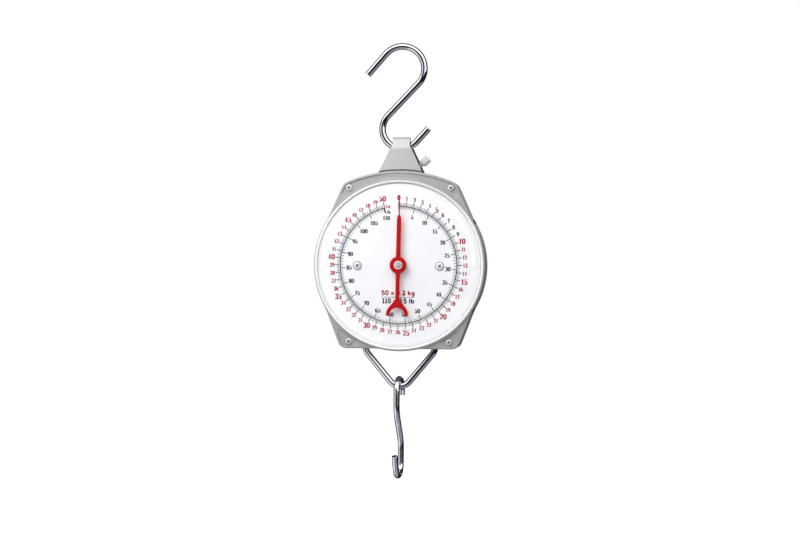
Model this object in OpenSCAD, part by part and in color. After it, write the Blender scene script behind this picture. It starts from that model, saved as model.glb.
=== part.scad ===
// Hanging dial scale, 50 kg, with two wire S-hooks.
// Frame: origin at the inner top of the upper hook's upper loop, where the
// scale hangs; +Z up, dial faces -Y, +X to the right of the dial.
// Real size, millimetres.

/* [Body] */
// Radius of the round part of the casing
body_r = 89.75; // [88.5:0.25:91]
// Depth of the rear shell's back face behind the hanging plane
rear_y = 22.5; // [22:0.5:27]
// Sheet thickness of the front shell
front_t = 1.0; // [0.8:0.1:1.1]
// Sheet thickness of the rear shell
rear_t = 1.0; // [0.8:0.1:1.3]
// Height of the bead around the lens
bead_h = 3.2; // [2.4:0.1:3.6]

/* [Dial] */
// Radius of the printed dial plate
dial_r = 83.4; // [80:0.1:83.6]
// Height of the clear lens above the casing face
lens_h = 14; // [12:0.5:16]
// Radius of the lens's flat front
lens_face_r = 76.5; // [72:0.5:79]
// Length of the pointer from its centre to its tip
needle_len = 67.8; // [55:0.1:72]
// Zero error that the pointer shows, degrees clockwise
pointer_rest = 0.9; // [-3:0.1:3]

/* [Hooks] */
// Wire radius of the upper hook
hook_r = 3.5; // [3:0.1:3.5]
// Wire radius of the lower hook
low_r = 3.3; // [2.8:0.1:3.3]
// Wire radius of the bail
bail_r = 3.5; // [2.8:0.1:3.5]

/* [Springs] */
// Wire radius of the weighing springs
spring_wire_r = 1.4; // [1:0.1:1.5]
// Mean coil radius of the weighing springs
spring_r = 8; // [7:0.1:8.2]
// Turns in each weighing spring
spring_turns = 14; // [10:1:16]

/* [Knob] */
// Radius of the knurled zero knob
knob_r = 4.6; // [3.8:0.1:4.8]
// Flutes around the zero knob
knob_flutes = 28; // [20:1:36]

/* [Hidden] */

// colours
c_chrome = [0.82, 0.83, 0.86];
c_paint = [0.72, 0.71, 0.70];
c_steel = [0.62, 0.63, 0.65];
c_brass = [0.78, 0.62, 0.30];
c_red = [0.80, 0.05, 0.06];
c_white = [0.97, 0.97, 0.97];

// heights and depths
zd = -226.2;            // height of the dial centre
face_y = -16;           // plane of the casing's front face
part_y = -7;            // plane where the front and rear shells meet
pivot_z = -101.5;       // wire centre that the yoke swings on
bail_z = -275;          // pivot of the bail in the carriage
apex_z = -352.9;        // wire centre at the bottom of the bail

// four ears: screw positions relative to the dial centre
ears = [[-53.4, 80.7], [53.4, 80.7], [-52.5, -79.9], [52.5, -79.9]];
side_a = 30.5;          // angle of the side screws above and below the dial centre

// ---------- helpers ----------

// extrudes a drawing made in X and Z along Y, from y0 back to y1
module yext(y0, y1) {
    translate([0, y1, 0]) rotate([90, 0, 0]) linear_extrude(y1 - y0) children();
}

// round bar along Y
module ycyl(x, z, r, y0, y1, fn = 48) {
    translate([x, y1, z]) rotate([90, 0, 0]) cylinder(h = y1 - y0, r = r, $fn = fn);
}

// revolved about the Y axis through x, z; the profile is [radius, -y]
module yrev(x, z, fn = 96) {
    translate([x, 0, z]) rotate([90, 0, 0]) rotate_extrude($fn = fn) children();
}

// wire arc in the XZ plane about c, angles from +X towards +Z
module wire_arc(c, R, r, a0, a1) {
    translate([c[0], 0, c[1]]) rotate([90, 0, 0]) rotate([0, 0, a0])
        rotate_extrude(angle = a1 - a0, $fn = 96) translate([R, 0]) circle(r = r, $fn = 40);
}

// straight wire in the XZ plane from p to q, lapping a and b mm into the bends
// at its ends and a hair thinner than they are, so that each joint is clean
module wire_bar(p, q, r, a = 0.3, b = 0.3) {
    d = q - p;
    translate([p[0], 0, p[1]]) rotate([0, 90 - atan2(d[1], d[0]), 0]) translate([0, 0, -a])
        cylinder(h = norm(d) + a + b, r = r - 0.03, $fn = 40);
}

function polar(c, R, a) = [c[0] + R * cos(a), c[1] + R * sin(a)];

// S-hook in the XZ plane: upper loop about c1, shank at slope s, lower loop
module s_hook(c1, r1, a0, l0, s, l, r2, a1, l1, r) {
    p0 = polar(c1, r1, a0);
    q1 = polar(c1, r1, s - 90);
    q2 = q1 - l * [cos(s), sin(s)];
    c2 = q2 + r2 * [sin(s), -cos(s)];
    p1 = polar(c2, r2, a1);
    union() {
        wire_bar(p0, p0 - l0 * [sin(a0), -cos(a0)], r, 0.3, 0);
        wire_arc(c1, r1, r, s - 90, a0);
        wire_bar(q2, q1, r);
        wire_arc(c2, r2, r, s + 90, a1);
        wire_bar(p1, p1 + l1 * [-sin(a1), cos(a1)], r, 0.3, 0);
    }
}

// ---------- casing outline ----------

// corner at b between a and c, rounded to radius r
function fillet(a, b, c, r, n) =
    let (u = (a - b) / norm(a - b), v = (c - b) / norm(c - b),
        h = acos(u * v) / 2, d = r / sin(h), m = (u + v) / norm(u + v), o = b + d * m,
        s0 = atan2((b + u * r / tan(h) - o)[1], (b + u * r / tan(h) - o)[0]),
        s1 = atan2((b + v * r / tan(h) - o)[1], (b + v * r / tan(h) - o)[0]),
        t = s1 - s0, w = t > 180 ? t - 360 : t < -180 ? t + 360 : t)
    [for (i = [0:n]) polar(o, r, s0 + w * i / n)];

// top arc of the casing, inset by o: its point at x
top_c = -43.7;
top_r = 142;
function top_pt(x, o) = [x, top_c + sqrt(pow(top_r - o, 2) - x * x)];
// straight sides above and below the round part, inset by o: x at z
function up_x(z, o) = (88.7 - o - 0.408 * z) / 0.913;
function low_x(z, o) = (88.5 - o + 0.359 * z) / 0.933;
// height where the upper side meets the top arc
function cross_z(o, z, n) = n == 0 ? z : cross_z(o, top_pt(up_x(z, o), o)[1], n - 1);

function ear_up(o) = let (z = cross_z(o, 85, 14), b = [up_x(z, o), z],
        a = [up_x(48.9, o), 48.9], t = top_pt(b[0] - 9, o), f = fillet(a, b, t, 8 - o * 0.6, 6),
        x0 = f[6][0] - 0.8)
    concat([a], f, [for (i = [0:12]) top_pt(x0 * (1 - i / 6), o)],
        [for (i = [0:6]) [-f[6 - i][0], f[6 - i][1]]], [[-a[0], a[1]]]);

function ear_low(o) = let (b = [low_x(-87.2 + o, o), -87.2 + o],
        a = [low_x(-45.6, o), -45.6], f = fillet(a, b, [0, b[1]], 8 - o * 0.6, 6))
    concat([a], f, [for (i = [0:6]) [-f[6 - i][0], f[6 - i][1]]], [[-a[0], a[1]]]);

// casing as one solid, inset by o, from y0 back to y1
module body_solid(o, y0, y1) {
    union() {
        ycyl(0, zd, body_r - o, y0, y1, 120);
        yext(y0, y1) translate([0, zd]) polygon(ear_up(o));
        yext(y0, y1) translate([0, zd]) polygon(ear_low(o));
    }
}

// round bar along the 45 degree axis of the zero screw, from s0 to s1
zk = [24.9, -116.7];
module zbar(r, s0, s1, fn = 40) {
    translate([zk[0], 0, zk[1]]) rotate([0, 225, 0]) translate([0, 0, s0])
        cylinder(h = s1 - s0, r = r, $fn = fn);
}

// side screws' axes, radial through the right wall of the casing
module side_bar(r, d0, d1, fn = 32) {
    for (a = [side_a, -side_a])
        translate([0, -10, zd]) rotate([0, -a, 0]) translate([d0, 0, 0])
            rotate([0, 90, 0]) cylinder(h = d1 - d0, r = r, $fn = fn);
}

// ---------- hooks and bail ----------

module upper_hook() {
    color(c_chrome)
        s_hook([0, -23.3 + hook_r], 23.3, 139, 28.8, 46.5, 46.06, 20.4, 317.6, 19.6, hook_r);
}

// two U-shaped loops whose upright sides a slanting shank joins
module lower_hook() {
    r1 = 12.2;
    rb = 12;
    c1 = [-1.8, apex_z + bail_r + low_r + 0.55 - r1];
    c2 = [0.7, -435];
    xf = c1[0] + r1;
    xb = c2[0] - rb;
    zu = -380;                    // corners of the shank
    zl = -412.4;
    ph = atan2(xf - xb, zu - zl);
    cu = [xf - rb, zu + rb * tan(ph / 2)];
    cl = [xb + rb, zl - rb * tan(ph / 2)];
    p0 = polar(c1, r1, 183);
    p1 = polar(c2, rb, 340);
    color(c_chrome) translate([-1, 0, 0]) rotate([0, 0, -96.5]) union() {
        wire_bar(p0, p0 - 5 * [sin(183), -cos(183)], low_r, 0.3, 0);
        wire_arc(c1, r1, low_r, 0, 183);
        wire_bar([xf, c1[1]], cu + [rb, 0], low_r);
        wire_arc(cu, rb, low_r, -ph, 0);
        wire_bar(polar(cu, rb, -ph), polar(cl, rb, 180 - ph), low_r);
        wire_arc(cl, rb, low_r, 180 - ph, 180);
        wire_bar([xb, cl[1]], [xb, c2[1]], low_r);
        wire_arc(c2, rb, low_r, 180, 340);
        wire_bar(p1, p1 + 14.9 * [-sin(340), cos(340)], low_r, 0.3, 0);
    }
}

// V-shaped wire with upright legs whose ends turn in to the carriage
module bail() {
    v = 39.6;                     // half angle of the V
    ra = 13.2;                    // bend at the bottom
    rb = 12;                      // bend at each shoulder
    xl = 36.7;                    // upright legs
    ca = [0, apex_z + ra];
    ta = polar(ca, ra, -90 + (90 - v));
    zs = apex_z - ra * (1 / sin(v) - 1) + xl / tan(v);  // corner of leg and V
    tl = rb * tan(v / 2);
    cb = [xl - rb, zs + tl];
    pb = polar(cb, rb, -v);
    color(c_chrome) union() {
        wire_arc(ca, ra, bail_r, -90 - (90 - v), -90 + (90 - v));
        for (m = [0, 1]) mirror([m, 0, 0]) {
            wire_bar(ta, pb, bail_r);
            wire_arc(cb, rb, bail_r, -v, 0);
            wire_bar(cb + [rb, 0], [xl, bail_z - 4], bail_r);
            wire_arc([xl - 4, bail_z - 4], 4, bail_r, 0, 90);
            wire_bar([xl - 4, bail_z], [24.5, bail_z], bail_r, 0.3, 0);
        }
    }
}

// ---------- hanger: yoke, anchor bar, guide rods ----------

// side profile of the folded strap in Y and Z
yoke_t = 2.5;
module yoke_profile() {
    a = 35;
    za = -103.7 + 9 / tan(a);
    ro = 1.3;
    zc = za - ro / sin(a);
    ti = za - yoke_t / sin(a);
    b = 8.8;
    arc = [for (i = [0:8]) polar([0, zc], ro, 90 - (90 - a) + (90 - a) * 2 * i / 8)];
    outer = concat([[10.5, -156], [10.5, -130], [9, -103.7]], arc,
        [[-9, -103.7], [-10.5, -130], [-10.5, -156]]);
    inner = [[-8, -156], [-8, -130], [-6.42, -102.9], [0, ti], [6.42, -102.9], [8, -130], [8, -156]];
    polygon(concat(outer, inner));
}

module yoke() {
    color(c_paint) difference() {
        intersection() {
            translate([-30, 0, 0]) rotate([90, 0, 90]) linear_extrude(60) yoke_profile();
            yext(-20, 20) polygon([[9.1, -88], [9.15, -101.6], [11.3, -104.2], [23.3, -130], [23.4, -156.5],
                [-23.4, -156.5], [-23.3, -130], [-11.3, -104.2], [-9.15, -101.6], [-9.1, -88]]);
        }
        for (x = [-18.5, 18.5]) ycyl(x, -147, 2.5, -12, 12);
    }
}

module yoke_rivets() {
    color(c_steel) for (x = [-18.5, 18.5]) union() {
        ycyl(x, -147, 2.5, -10.5, 10.5);
        ycyl(x, -147, 4, -11.9, -10.5);
        ycyl(x, -147, 4, 10.5, 11.9);
    }
}

module spring_anchor() {
    color(c_steel) difference() {
        union() {
            translate([-33, -8, -153]) cube([66, 16, 12]);
            for (x = [-28, 28]) translate([x - 4, -2, -164]) cube([8, 4, 11.5]);
            yext(-4, 4) polygon([[2, -141.2], [2, -130.3], [8.9, -130.3], [14, -135.4], [14, -141.2]]);
        }
        for (x = [-12, 12]) translate([x, 0, -154]) cylinder(h = 14, r = 2.5, $fn = 48);
        for (x = [-18.5, 18.5]) ycyl(x, -147, 2.5, -12, 12);
        for (x = [-28, 28]) ycyl(x, -159, 2.4, -4, 4);
    }
}

module guide_rods() {
    color(c_chrome) for (x = [-12, 12]) translate([x, 0, -311]) cylinder(h = 170, r = 2.5, $fn = 48);
}

module rod_stops() {
    color(c_brass) for (x = [-12, 12]) translate([x, 0, -311]) difference() {
        cylinder(h = 3.6, r = 4.6, $fn = 48);
        translate([0, 0, -1]) cylinder(h = 6, r = 2.5, $fn = 48);
    }
}

// ---------- casing ----------

module yoke_slot(y0, y1) { translate([-24.2, y0, -134]) cube([48.4, y1 - y0, 14]); }

module front_shell() {
    color(c_paint) difference() {
        union() {
            body_solid(0, face_y, part_y);
            yrev(0, zd, 120) polygon([[85.7, 15.5], [85.7, 15.9 + bead_h * 0.7], [86.3, 16 + bead_h],
                [87.5, 16 + bead_h], [88.3, 16 + bead_h * 0.7], [88.95, 16.2], [88.95, 15.5]]);
        }
        body_solid(front_t, face_y + front_t, part_y + 1);
        ycyl(0, zd, 84, face_y - 1, face_y + 2, 120);
        for (e = ears) ycyl(e[0], zd + e[1], 1.9, -20, -10, 32);
        side_bar(1.6, 80, 95);
        side_bar(2.9, body_r - 0.35, 95);
        yoke_slot(-11.4, part_y + 1);
    }
}

module rear_shell() {
    color(c_paint) difference() {
        union() {
            body_solid(0, part_y, rear_y);
            body_solid(front_t + 0.1, part_y - 5.5, part_y + 0.5);
        }
        body_solid(front_t + 1.2, part_y - 6, part_y + 2);
        body_solid(rear_t, part_y + 2, rear_y - rear_t);
        side_bar(1.6, 80, 95);
        yoke_slot(-13, -7.4);
        yoke_slot(7.4, 11.4);
        for (x = [-36.7, 36.7]) {
            translate([x - bail_r - 1.2, -3.2, -320]) cube([2 * bail_r + 2.4, 6.4, 12]);
            for (y = [-3.2, 3.2]) translate([x, y, -320]) cylinder(h = 12, r = bail_r + 1.2, $fn = 40);
        }
        for (e = ears) ycyl(e[0], zd + e[1], 1.9, rear_y - 3, rear_y + 1, 32);
        for (x = [-14, 14]) for (z = [-196, -240]) ycyl(x, z, 1.9, rear_y - 3, rear_y + 1, 32);
        zbar(4.05, 6, 22);
    }
}

module corner_posts() {
    color(c_steel) for (e = ears) difference() {
        ycyl(e[0], zd + e[1], 3.5, face_y + front_t, rear_y - rear_t);
        ycyl(e[0], zd + e[1], 1.75, face_y, rear_y, 32);
    }
}

// pan-head screw along Y, head outside at y, shank running back (s = 1) or forward (s = -1)
module pan_screw(x, z, y, s, rh, hh, rs, ls) {
    translate([x, y, z]) rotate([s * 90, 0, 0]) union() {
        rotate_extrude($fn = 48) polygon([[0, 0], [rh, 0], [rh, hh * 0.45], [rh * 0.84, hh * 0.8],
            [rh * 0.5, hh], [0, hh]]);
        translate([0, 0, -ls]) cylinder(h = ls + 0.2, r = rs, $fn = 32);
    }
}

module corner_screws() {
    color(c_steel) for (e = ears) {
        pan_screw(e[0], zd + e[1], face_y, 1, 3.1, 2.1, 1.7, 10);
        pan_screw(e[0], zd + e[1], rear_y, -1, 3.1, 2.1, 1.7, 10);
    }
}

module side_screws() {
    color(c_steel) for (a = [side_a, -side_a])
        translate([0, -10, zd]) rotate([0, -a, 0]) translate([body_r - 0.33, 0, 0]) rotate([0, 90, 0])
            union() {
                rotate_extrude($fn = 40) polygon([[0, 0], [2.7, 0], [2.7, 0.8], [2.2, 1.6], [1.2, 2], [0, 2]]);
                translate([0, 0, -4]) cylinder(h = 4.2, r = 1.45, $fn = 32);
            }
}

// clear pan over the dial
module lens() {
    h0 = 16.5;
    hf = 16 + lens_h - 0.5;
    w = 84.9 - lens_face_r;
    n = 8;
    outer = [for (i = [0:n]) [lens_face_r + w * sin(90 - 90 * i / n) , h0 + 1.2 + (hf - h0 - 1.2) * sin(90 * i / n)]];
    inner = [for (i = [0:n]) [lens_face_r - 1 + (w - 0.8) * cos(90 * (n - i) / n), h0 + (hf - h0 - 1.8) * sin(90 * (n - i) / n)]];
    color([0.93, 0.95, 0.97, 0.35]) yrev(0, zd, 120)
        polygon(concat([[85.4, h0], [85.4, h0 + 1.2]], outer, [[40, hf + 0.45], [0, hf + 0.5],
            [0, hf - 1.3], [40, hf - 1.35]], inner));
}

module lens_seal() {
    color([0.85, 0.85, 0.84]) yrev(0, zd, 120) polygon([[84.2, 16], [85.4, 16], [85.4, 16.5], [84.2, 16.5]]);
}

module dial_plate() {
    color(c_white) difference() {
        ycyl(0, zd, dial_r, face_y - 0.2, face_y + 0.6, 120);
        ycyl(0, zd, 5, -20, -10);
        for (x = [-42.9, 42.9]) ycyl(x, zd - 0.8, 2, -20, -10, 32);
    }
}

module dial_posts() {
    color(c_brass) for (x = [-42.9, 42.9]) difference() {
        ycyl(x, zd - 0.8, 4, -15.4, -12.5);
        ycyl(x, zd - 0.8, 1.95, -16, -12, 32);
    }
}

module dial_screws() {
    color(c_steel) for (x = [-42.9, 42.9]) pan_screw(x, zd - 0.8, -16.2, 1, 4, 2.2, 1.9, 5.2);
}

// ---------- mechanism frame ----------

module plate_outline(arms) {
    translate([-19, -256]) square([38, 80]);
    if (arms) translate([-49, -237]) square([98, 20]);
}

module plate_holes(y0, y1) {
    ycyl(0, zd, 4.5, y0, y1);
    for (x = [-6, 6]) for (z = [-185, -248]) ycyl(x, z, 1.6, y0, y1, 32);
}

module front_plate() {
    color(c_steel) difference() {
        yext(-12.5, -11) plate_outline(true);
        plate_holes(-13, -10);
        for (x = [-42.9, 42.9]) ycyl(x, zd - 0.8, 1.95, -13, -10, 32);
    }
}

module rear_plate() {
    color(c_steel) difference() {
        yext(11, 12.5) plate_outline(false);
        plate_holes(10, 13);
    }
}

module guide_block(z0, z1, slot) {
    difference() {
        translate([-17, -11, z0]) cube([34, 22, z1 - z0]);
        for (x = [-12, 12]) translate([x, 0, z0 - 1]) cylinder(h = z1 - z0 + 2, r = 2.55, $fn = 48);
        if (slot) translate([3.2, -2.2, z0 - 1]) cube([5.65, 4.4, z1 - z0 + 2]);
        for (x = [-6, 6]) for (y = [-1, 1])
            ycyl(x, (z0 + z1) / 2, 1.5, y < 0 ? -12 : 4, y < 0 ? -4 : 12, 32);
    }
}

module upper_guide() { color(c_brass) guide_block(-189, -181, false); }
module lower_guide() { color(c_brass) guide_block(-252, -244, true); }

module plate_screws() {
    color(c_steel) for (x = [-6, 6]) for (z = [-185, -248]) {
        pan_screw(x, z, -12.5, 1, 2.75, 1.7, 1.45, 7);
        pan_screw(x, z, 12.5, -1, 2.75, 1.7, 1.45, 7);
    }
}

module arbor_bushes() {
    color(c_brass) for (s = [-1, 1]) difference() {
        union() {
            ycyl(0, zd, 4.5, s < 0 ? -13.5 : 9.5, s < 0 ? -9.5 : 13.5);
            ycyl(0, zd, 6, s < 0 ? -11 : 9.5, s < 0 ? -9.5 : 11);
        }
        ycyl(0, zd, 2.05, s < 0 ? -14 : 9, s < 0 ? -9 : 14);
    }
}

module rear_posts() {
    color(c_steel) for (x = [-14, 14]) for (z = [-196, -240]) difference() {
        ycyl(x, z, 3.5, 12.5, rear_y - rear_t);
        ycyl(x, z, 1.75, rear_y - rear_t - 8, rear_y, 32);
    }
}

module back_screws() {
    color(c_steel) for (x = [-14, 14]) for (z = [-196, -240])
        pan_screw(x, z, rear_y, -1, 3.3, 2.1, 1.7, 8);
}

module zero_boss() {
    color(c_steel) difference() {
        union() {
            zbar(6, 8.2, 11.6, 6);
            zbar(4, 11.5, 17.8);
        }
        zbar(2.05, 7, 19);
    }
}

// ---------- weighing springs ----------

// centre line: hook round the lower lug, coil, hook round the upper lug
sp_z0 = -262;
sp_z1 = -159;
sp_m = (sp_z0 + sp_z1) / 2;
sp_hook = 6.5;
sp_pitch = 2 * spring_wire_r + 0.35;
sp_h = spring_turns * sp_pitch;
sp_n = 14;
function ring_low() = [for (i = [0:9]) let (a = 110 - i * 29)
        [0, sp_hook * cos(a), sp_z0 + sp_hook + sp_hook * sin(a)]];
function ring_up() = [for (i = [0:9]) let (a = -29 * 9 + 110 + i * 29 + 180)
        [0, sp_hook * cos(a), sp_z1 - sp_hook + sp_hook * sin(a)]];
function coil() = [for (i = [0:sp_n * spring_turns]) let (a = 360 * i / sp_n + 180)
        [spring_r * cos(a), spring_r * sin(a), sp_m - sp_h / 2 + sp_h * i / (sp_n * spring_turns)]];
function spring_path() = concat(ring_low(),
    [[-1.2, -4.6, sp_z0 + 21], [-4, -3.2, sp_m - sp_h / 2 - 4.5], [-6.9, -1.2, sp_m - sp_h / 2 - 1.4]],
    coil(),
    [[-6.9, 1.2, sp_m + sp_h / 2 + 1.4], [-4, 3.2, sp_m + sp_h / 2 + 4.5], [-1.2, 4.6, sp_z1 - 21]],
    ring_up());

// sweep of a six-sided wire along the points of p
module sweep(p, r) {
    k = 6;
    m = len(p);
    tan_at = [for (i = [0:m - 1]) let (d = p[min(i + 1, m - 1)] - p[max(i - 1, 0)]) d / norm(d)];
    // side vector: away from the spring's own axis, squared to the path
    side = [for (i = [0:m - 1]) let (t = tan_at[i],
        w = [p[i][0] + 0.35, p[i][1], 0], e = w - (w * t) * t) e / norm(e)];
    ring = [for (i = [0:m - 1]) let (t = tan_at[i], s = side[i], b = cross(t, s))
        for (j = [0:k - 1]) p[i] + r * (cos(60 * j) * s + sin(60 * j) * b)];
    faces = concat([[for (j = [0:k - 1]) k - 1 - j]],
        [for (i = [0:m - 2]) for (j = [0:k - 1]) let (a = i * k + j, b = i * k + (j + 1) % k)
            [a, b, b + k]],
        [for (i = [0:m - 2]) for (j = [0:k - 1]) let (a = i * k + j, b = i * k + (j + 1) % k)
            [a, b + k, a + k]],
        [[for (j = [0:k - 1]) (m - 1) * k + j]]);
    polyhedron(points = ring, faces = [for (f = faces) [for (i = [len(f) - 1:-1:0]) f[i]]]);
}

module left_spring() { color(c_steel) translate([-28, 0, 0]) sweep(spring_path(), spring_wire_r); }
module right_spring() { color(c_steel) translate([28, 0, 0]) sweep(spring_path(), spring_wire_r); }

// ---------- zero screw ----------

module zero_screw() {
    color(c_steel) union() {
        difference() {
            zbar(knob_r, -4.3, 4.3, 64);
            for (i = [0:knob_flutes - 1]) translate([zk[0], 0, zk[1]]) rotate([0, 225, 0])
                rotate([0, 0, i * 360 / knob_flutes]) translate([knob_r + 0.12, 0, -3.7])
                    cylinder(h = 7.4, r = 0.34, $fn = 4);
        }
        zbar(2.6, 4.2, 5.8);
        zbar(2, 5.7, 20.5);
    }
}

// ---------- pointer train ----------

md = 0.5;
teeth = 16;
pr = md * teeth / 2;                         // pitch radius 4 mm
back = 0.1;                                  // backlash at the pitch line
function inv(a) = tan(a) * 180 / PI - a;     // degrees
br = pr * cos(20);
// half the angle that a tooth covers at radius r
function half_a(r) = let (t = 90 / teeth - back / 2 / pr * 180 / PI)
    t + inv(20) - (r <= br ? 0 : inv(acos(br / r)));

module arbor() {
    color(c_steel) union() {
        ycyl(0, zd, 2, -13.8, 14.6);
        ycyl(0, zd, 2.5, -9, 9);
        ycyl(0, zd, 1.8, -19, -13.7);
        ycyl(0, zd, 1.5, -22.4, -18.9);
    }
}

module pinion() {
    rs = [3.4, br, 3.9, pr, 4.15, 4.3, 4.45];
    pts = [for (i = [0:teeth - 1]) let (c = i * 360 / teeth) each concat(
        [for (j = [0:6]) polar([0, 0], rs[j], c - half_a(rs[j]))],
        [for (j = [6:-1:0]) polar([0, 0], rs[j], c + half_a(rs[j]))])];
    color(c_brass) translate([0, 0, zd]) difference() {
        yext(-3, 3) polygon(pts);
        ycyl(0, 0, 2.5, -4, 4);
    }
}

module rack() {
    p = PI * md;
    z0 = -238;
    n = 26;
    w = p / 2 - back;                         // tooth at the pitch line
    pts = [for (i = [0:n - 1]) let (z = zd + (round((z0 - zd) / p) + 0.5 + i) * p, k = tan(20)) each [
        [4.6, z - w / 2 - 0.6 * k], [3.55, z - w / 2 + 0.45 * k],
        [3.55, z + w / 2 - 0.45 * k], [4.6, z + w / 2 + 0.6 * k]]];
    color(c_brass) difference() {
        yext(-2, 2) polygon(concat([[8.6, -276], [4.6, -276]], pts, [[4.6, -194], [8.6, -194]]));
        ycyl(6.6, -272.6, 1.2, -3, 3, 32);
    }
}

// right half of the pointer's forked tail
fork = [[2.05, -34.6], [2.3, -35.9], [3.8, -37.9], [6.6, -41.3], [9, -44.2], [10.4, -46.4],
    [11.1, -48.6], [11.4, -50.6], [11.45, -52.3], [11.1, -52.7]];

module pointer() {
    color(c_red) translate([0, 0, zd]) rotate([0, pointer_rest, 0]) difference() {
        union() {
            ycyl(0, 0, 8.75, -22.4, -21.2, 64);
            ycyl(0, 0, 3.4, -21.3, -19.1);
            yext(-22.4, -21.2) polygon([[-2.4, 7], [-2.2, 48], [-0.68, 51.6], [-0.55, needle_len],
                [0.55, needle_len], [0.68, 51.6], [2.2, 48], [2.4, 7]]);
            yext(-22.4, -21.2) polygon([[-2.2, -7], [2.2, -7], [2.05, -34.8], [-2.05, -34.8]]);
            yext(-22.4, -21.2) difference() {
                polygon(concat(fork, [for (i = [len(fork) - 1:-1:0]) [-fork[i][0], fork[i][1]]]));
                translate([0, -52]) circle(r = 7.8, $fn = 72);
            }
        }
        ycyl(0, 0, 1.5, -23, -18);
    }
}

module pointer_cap() {
    color(c_chrome) yrev(0, zd, 64) polygon([[0, 22.4], [4.4, 22.4], [4.4, 22.8], [4, 23.1], [3.1, 23.1],
        [3, 23.9], [2.4, 24.5], [1.4, 24.8], [0, 24.9]]);
}

module arbor_clip() {
    color(c_steel) difference() {
        ycyl(0, zd, 4, 13.6, 14.4);
        ycyl(0, zd, 2, 13, 15);
    }
}

// ---------- load carriage ----------

module carriage() {
    color(c_steel) difference() {
        union() {
            translate([-32, -6, -282]) cube([64, 12, 14]);
            for (x = [-28, 28]) translate([x - 4, -2, -268.5]) cube([8, 4, 11.5]);
        }
        for (x = [-12, 12]) translate([x, 0, -283]) cylinder(h = 16, r = 3.3, $fn = 48);
        for (x = [-28, 28]) ycyl(x, -262, 2.4, -4, 4);
        for (s = [-1, 1]) translate([s * 28.5, 0, bail_z]) rotate([0, 90, 0])
            cylinder(h = 10, r = bail_r + 0.05, center = true, $fn = 48);
        translate([4.55, -2.05, -276.1]) cube([4.1, 4.1, 9]);
        ycyl(6.6, -272.6, 1.2, -7, 7, 32);
    }
}

module carriage_bushes() {
    color(c_brass) for (x = [-12, 12]) translate([x, 0, 0]) difference() {
        translate([0, 0, -282]) cylinder(h = 15, r = 3.3, $fn = 48);
        translate([0, 0, -283]) cylinder(h = 17, r = 2.55, $fn = 48);
    }
}

module rack_pin() { color(c_steel) ycyl(6.6, -272.6, 1.2, -6, 6, 32); }

// ---------- the assembly ----------

upper_hook();
yoke();
yoke_rivets();
spring_anchor();
guide_rods();
rod_stops();
front_shell();
rear_shell();
corner_posts();
corner_screws();
side_screws();
lens();
lens_seal();
dial_plate();
dial_posts();
dial_screws();
front_plate();
rear_plate();
upper_guide();
lower_guide();
plate_screws();
arbor_bushes();
rear_posts();
back_screws();
zero_boss();
left_spring();
right_spring();
zero_screw();
arbor();
pinion();
pointer();
pointer_cap();
arbor_clip();
carriage();
carriage_bushes();
rack();
rack_pin();
bail();
lower_hook();
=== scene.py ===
import bpy
import bmesh
import math
from math import sin, cos, radians, pi, sqrt, atan2, hypot
from mathutils import Vector, Matrix


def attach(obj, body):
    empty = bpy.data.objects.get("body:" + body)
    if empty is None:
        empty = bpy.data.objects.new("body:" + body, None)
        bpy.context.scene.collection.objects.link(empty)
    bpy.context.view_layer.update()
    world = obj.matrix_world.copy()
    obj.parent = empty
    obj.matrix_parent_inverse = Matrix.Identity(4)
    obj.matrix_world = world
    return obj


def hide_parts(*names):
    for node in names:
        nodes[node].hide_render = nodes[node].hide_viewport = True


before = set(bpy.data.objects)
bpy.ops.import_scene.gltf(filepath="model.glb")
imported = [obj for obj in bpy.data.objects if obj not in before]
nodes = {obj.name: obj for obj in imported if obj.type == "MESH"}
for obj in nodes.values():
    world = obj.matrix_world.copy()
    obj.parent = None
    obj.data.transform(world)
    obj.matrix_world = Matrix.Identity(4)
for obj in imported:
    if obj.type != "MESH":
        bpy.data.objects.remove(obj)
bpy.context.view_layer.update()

MM = 0.001
ZD = -226.2            # dial centre
FACE = -16.0           # casing's front face
REAR = 22.5            # casing's back face
BODY_R = 89.75
TOP_C, TOP_R = -43.7, 142.0      # arc of the casing's top edge, from the dial centre
PIVOT_BAIL = -275.0
APEX = -352.9
scene = bpy.context.scene


# ------------------------------------------------------------------ camera

AZ = radians(6.5)
DIST = 1900.0
CAM_X, CAM_Z = -0.8925, -227.57


def make_camera():
    cam = bpy.data.cameras.new("camera")
    obj = bpy.data.objects.new("camera", cam)
    scene.collection.objects.link(obj)
    scene.camera = obj
    cam.sensor_width = 36.0
    cam.sensor_fit = "HORIZONTAL"
    cam.lens = 1809.5 / 800.0 * 36.0
    cam.clip_start = 0.05
    cam.clip_end = 100.0
    right = Vector((cos(AZ), sin(AZ), 0))
    up = Vector((0, 0, 1))
    back = Vector((sin(AZ), -cos(AZ), 0))
    place = Vector((CAM_X * cos(AZ), CAM_X * sin(AZ), CAM_Z)) + back * DIST
    m = Matrix((right, up, back)).transposed().to_4x4()
    m = m @ Matrix.Rotation(radians(0.45), 4, "Z")
    m.translation = place * MM
    obj.matrix_world = m


make_camera()


# --------------------------------------------------------------- materials

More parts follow.
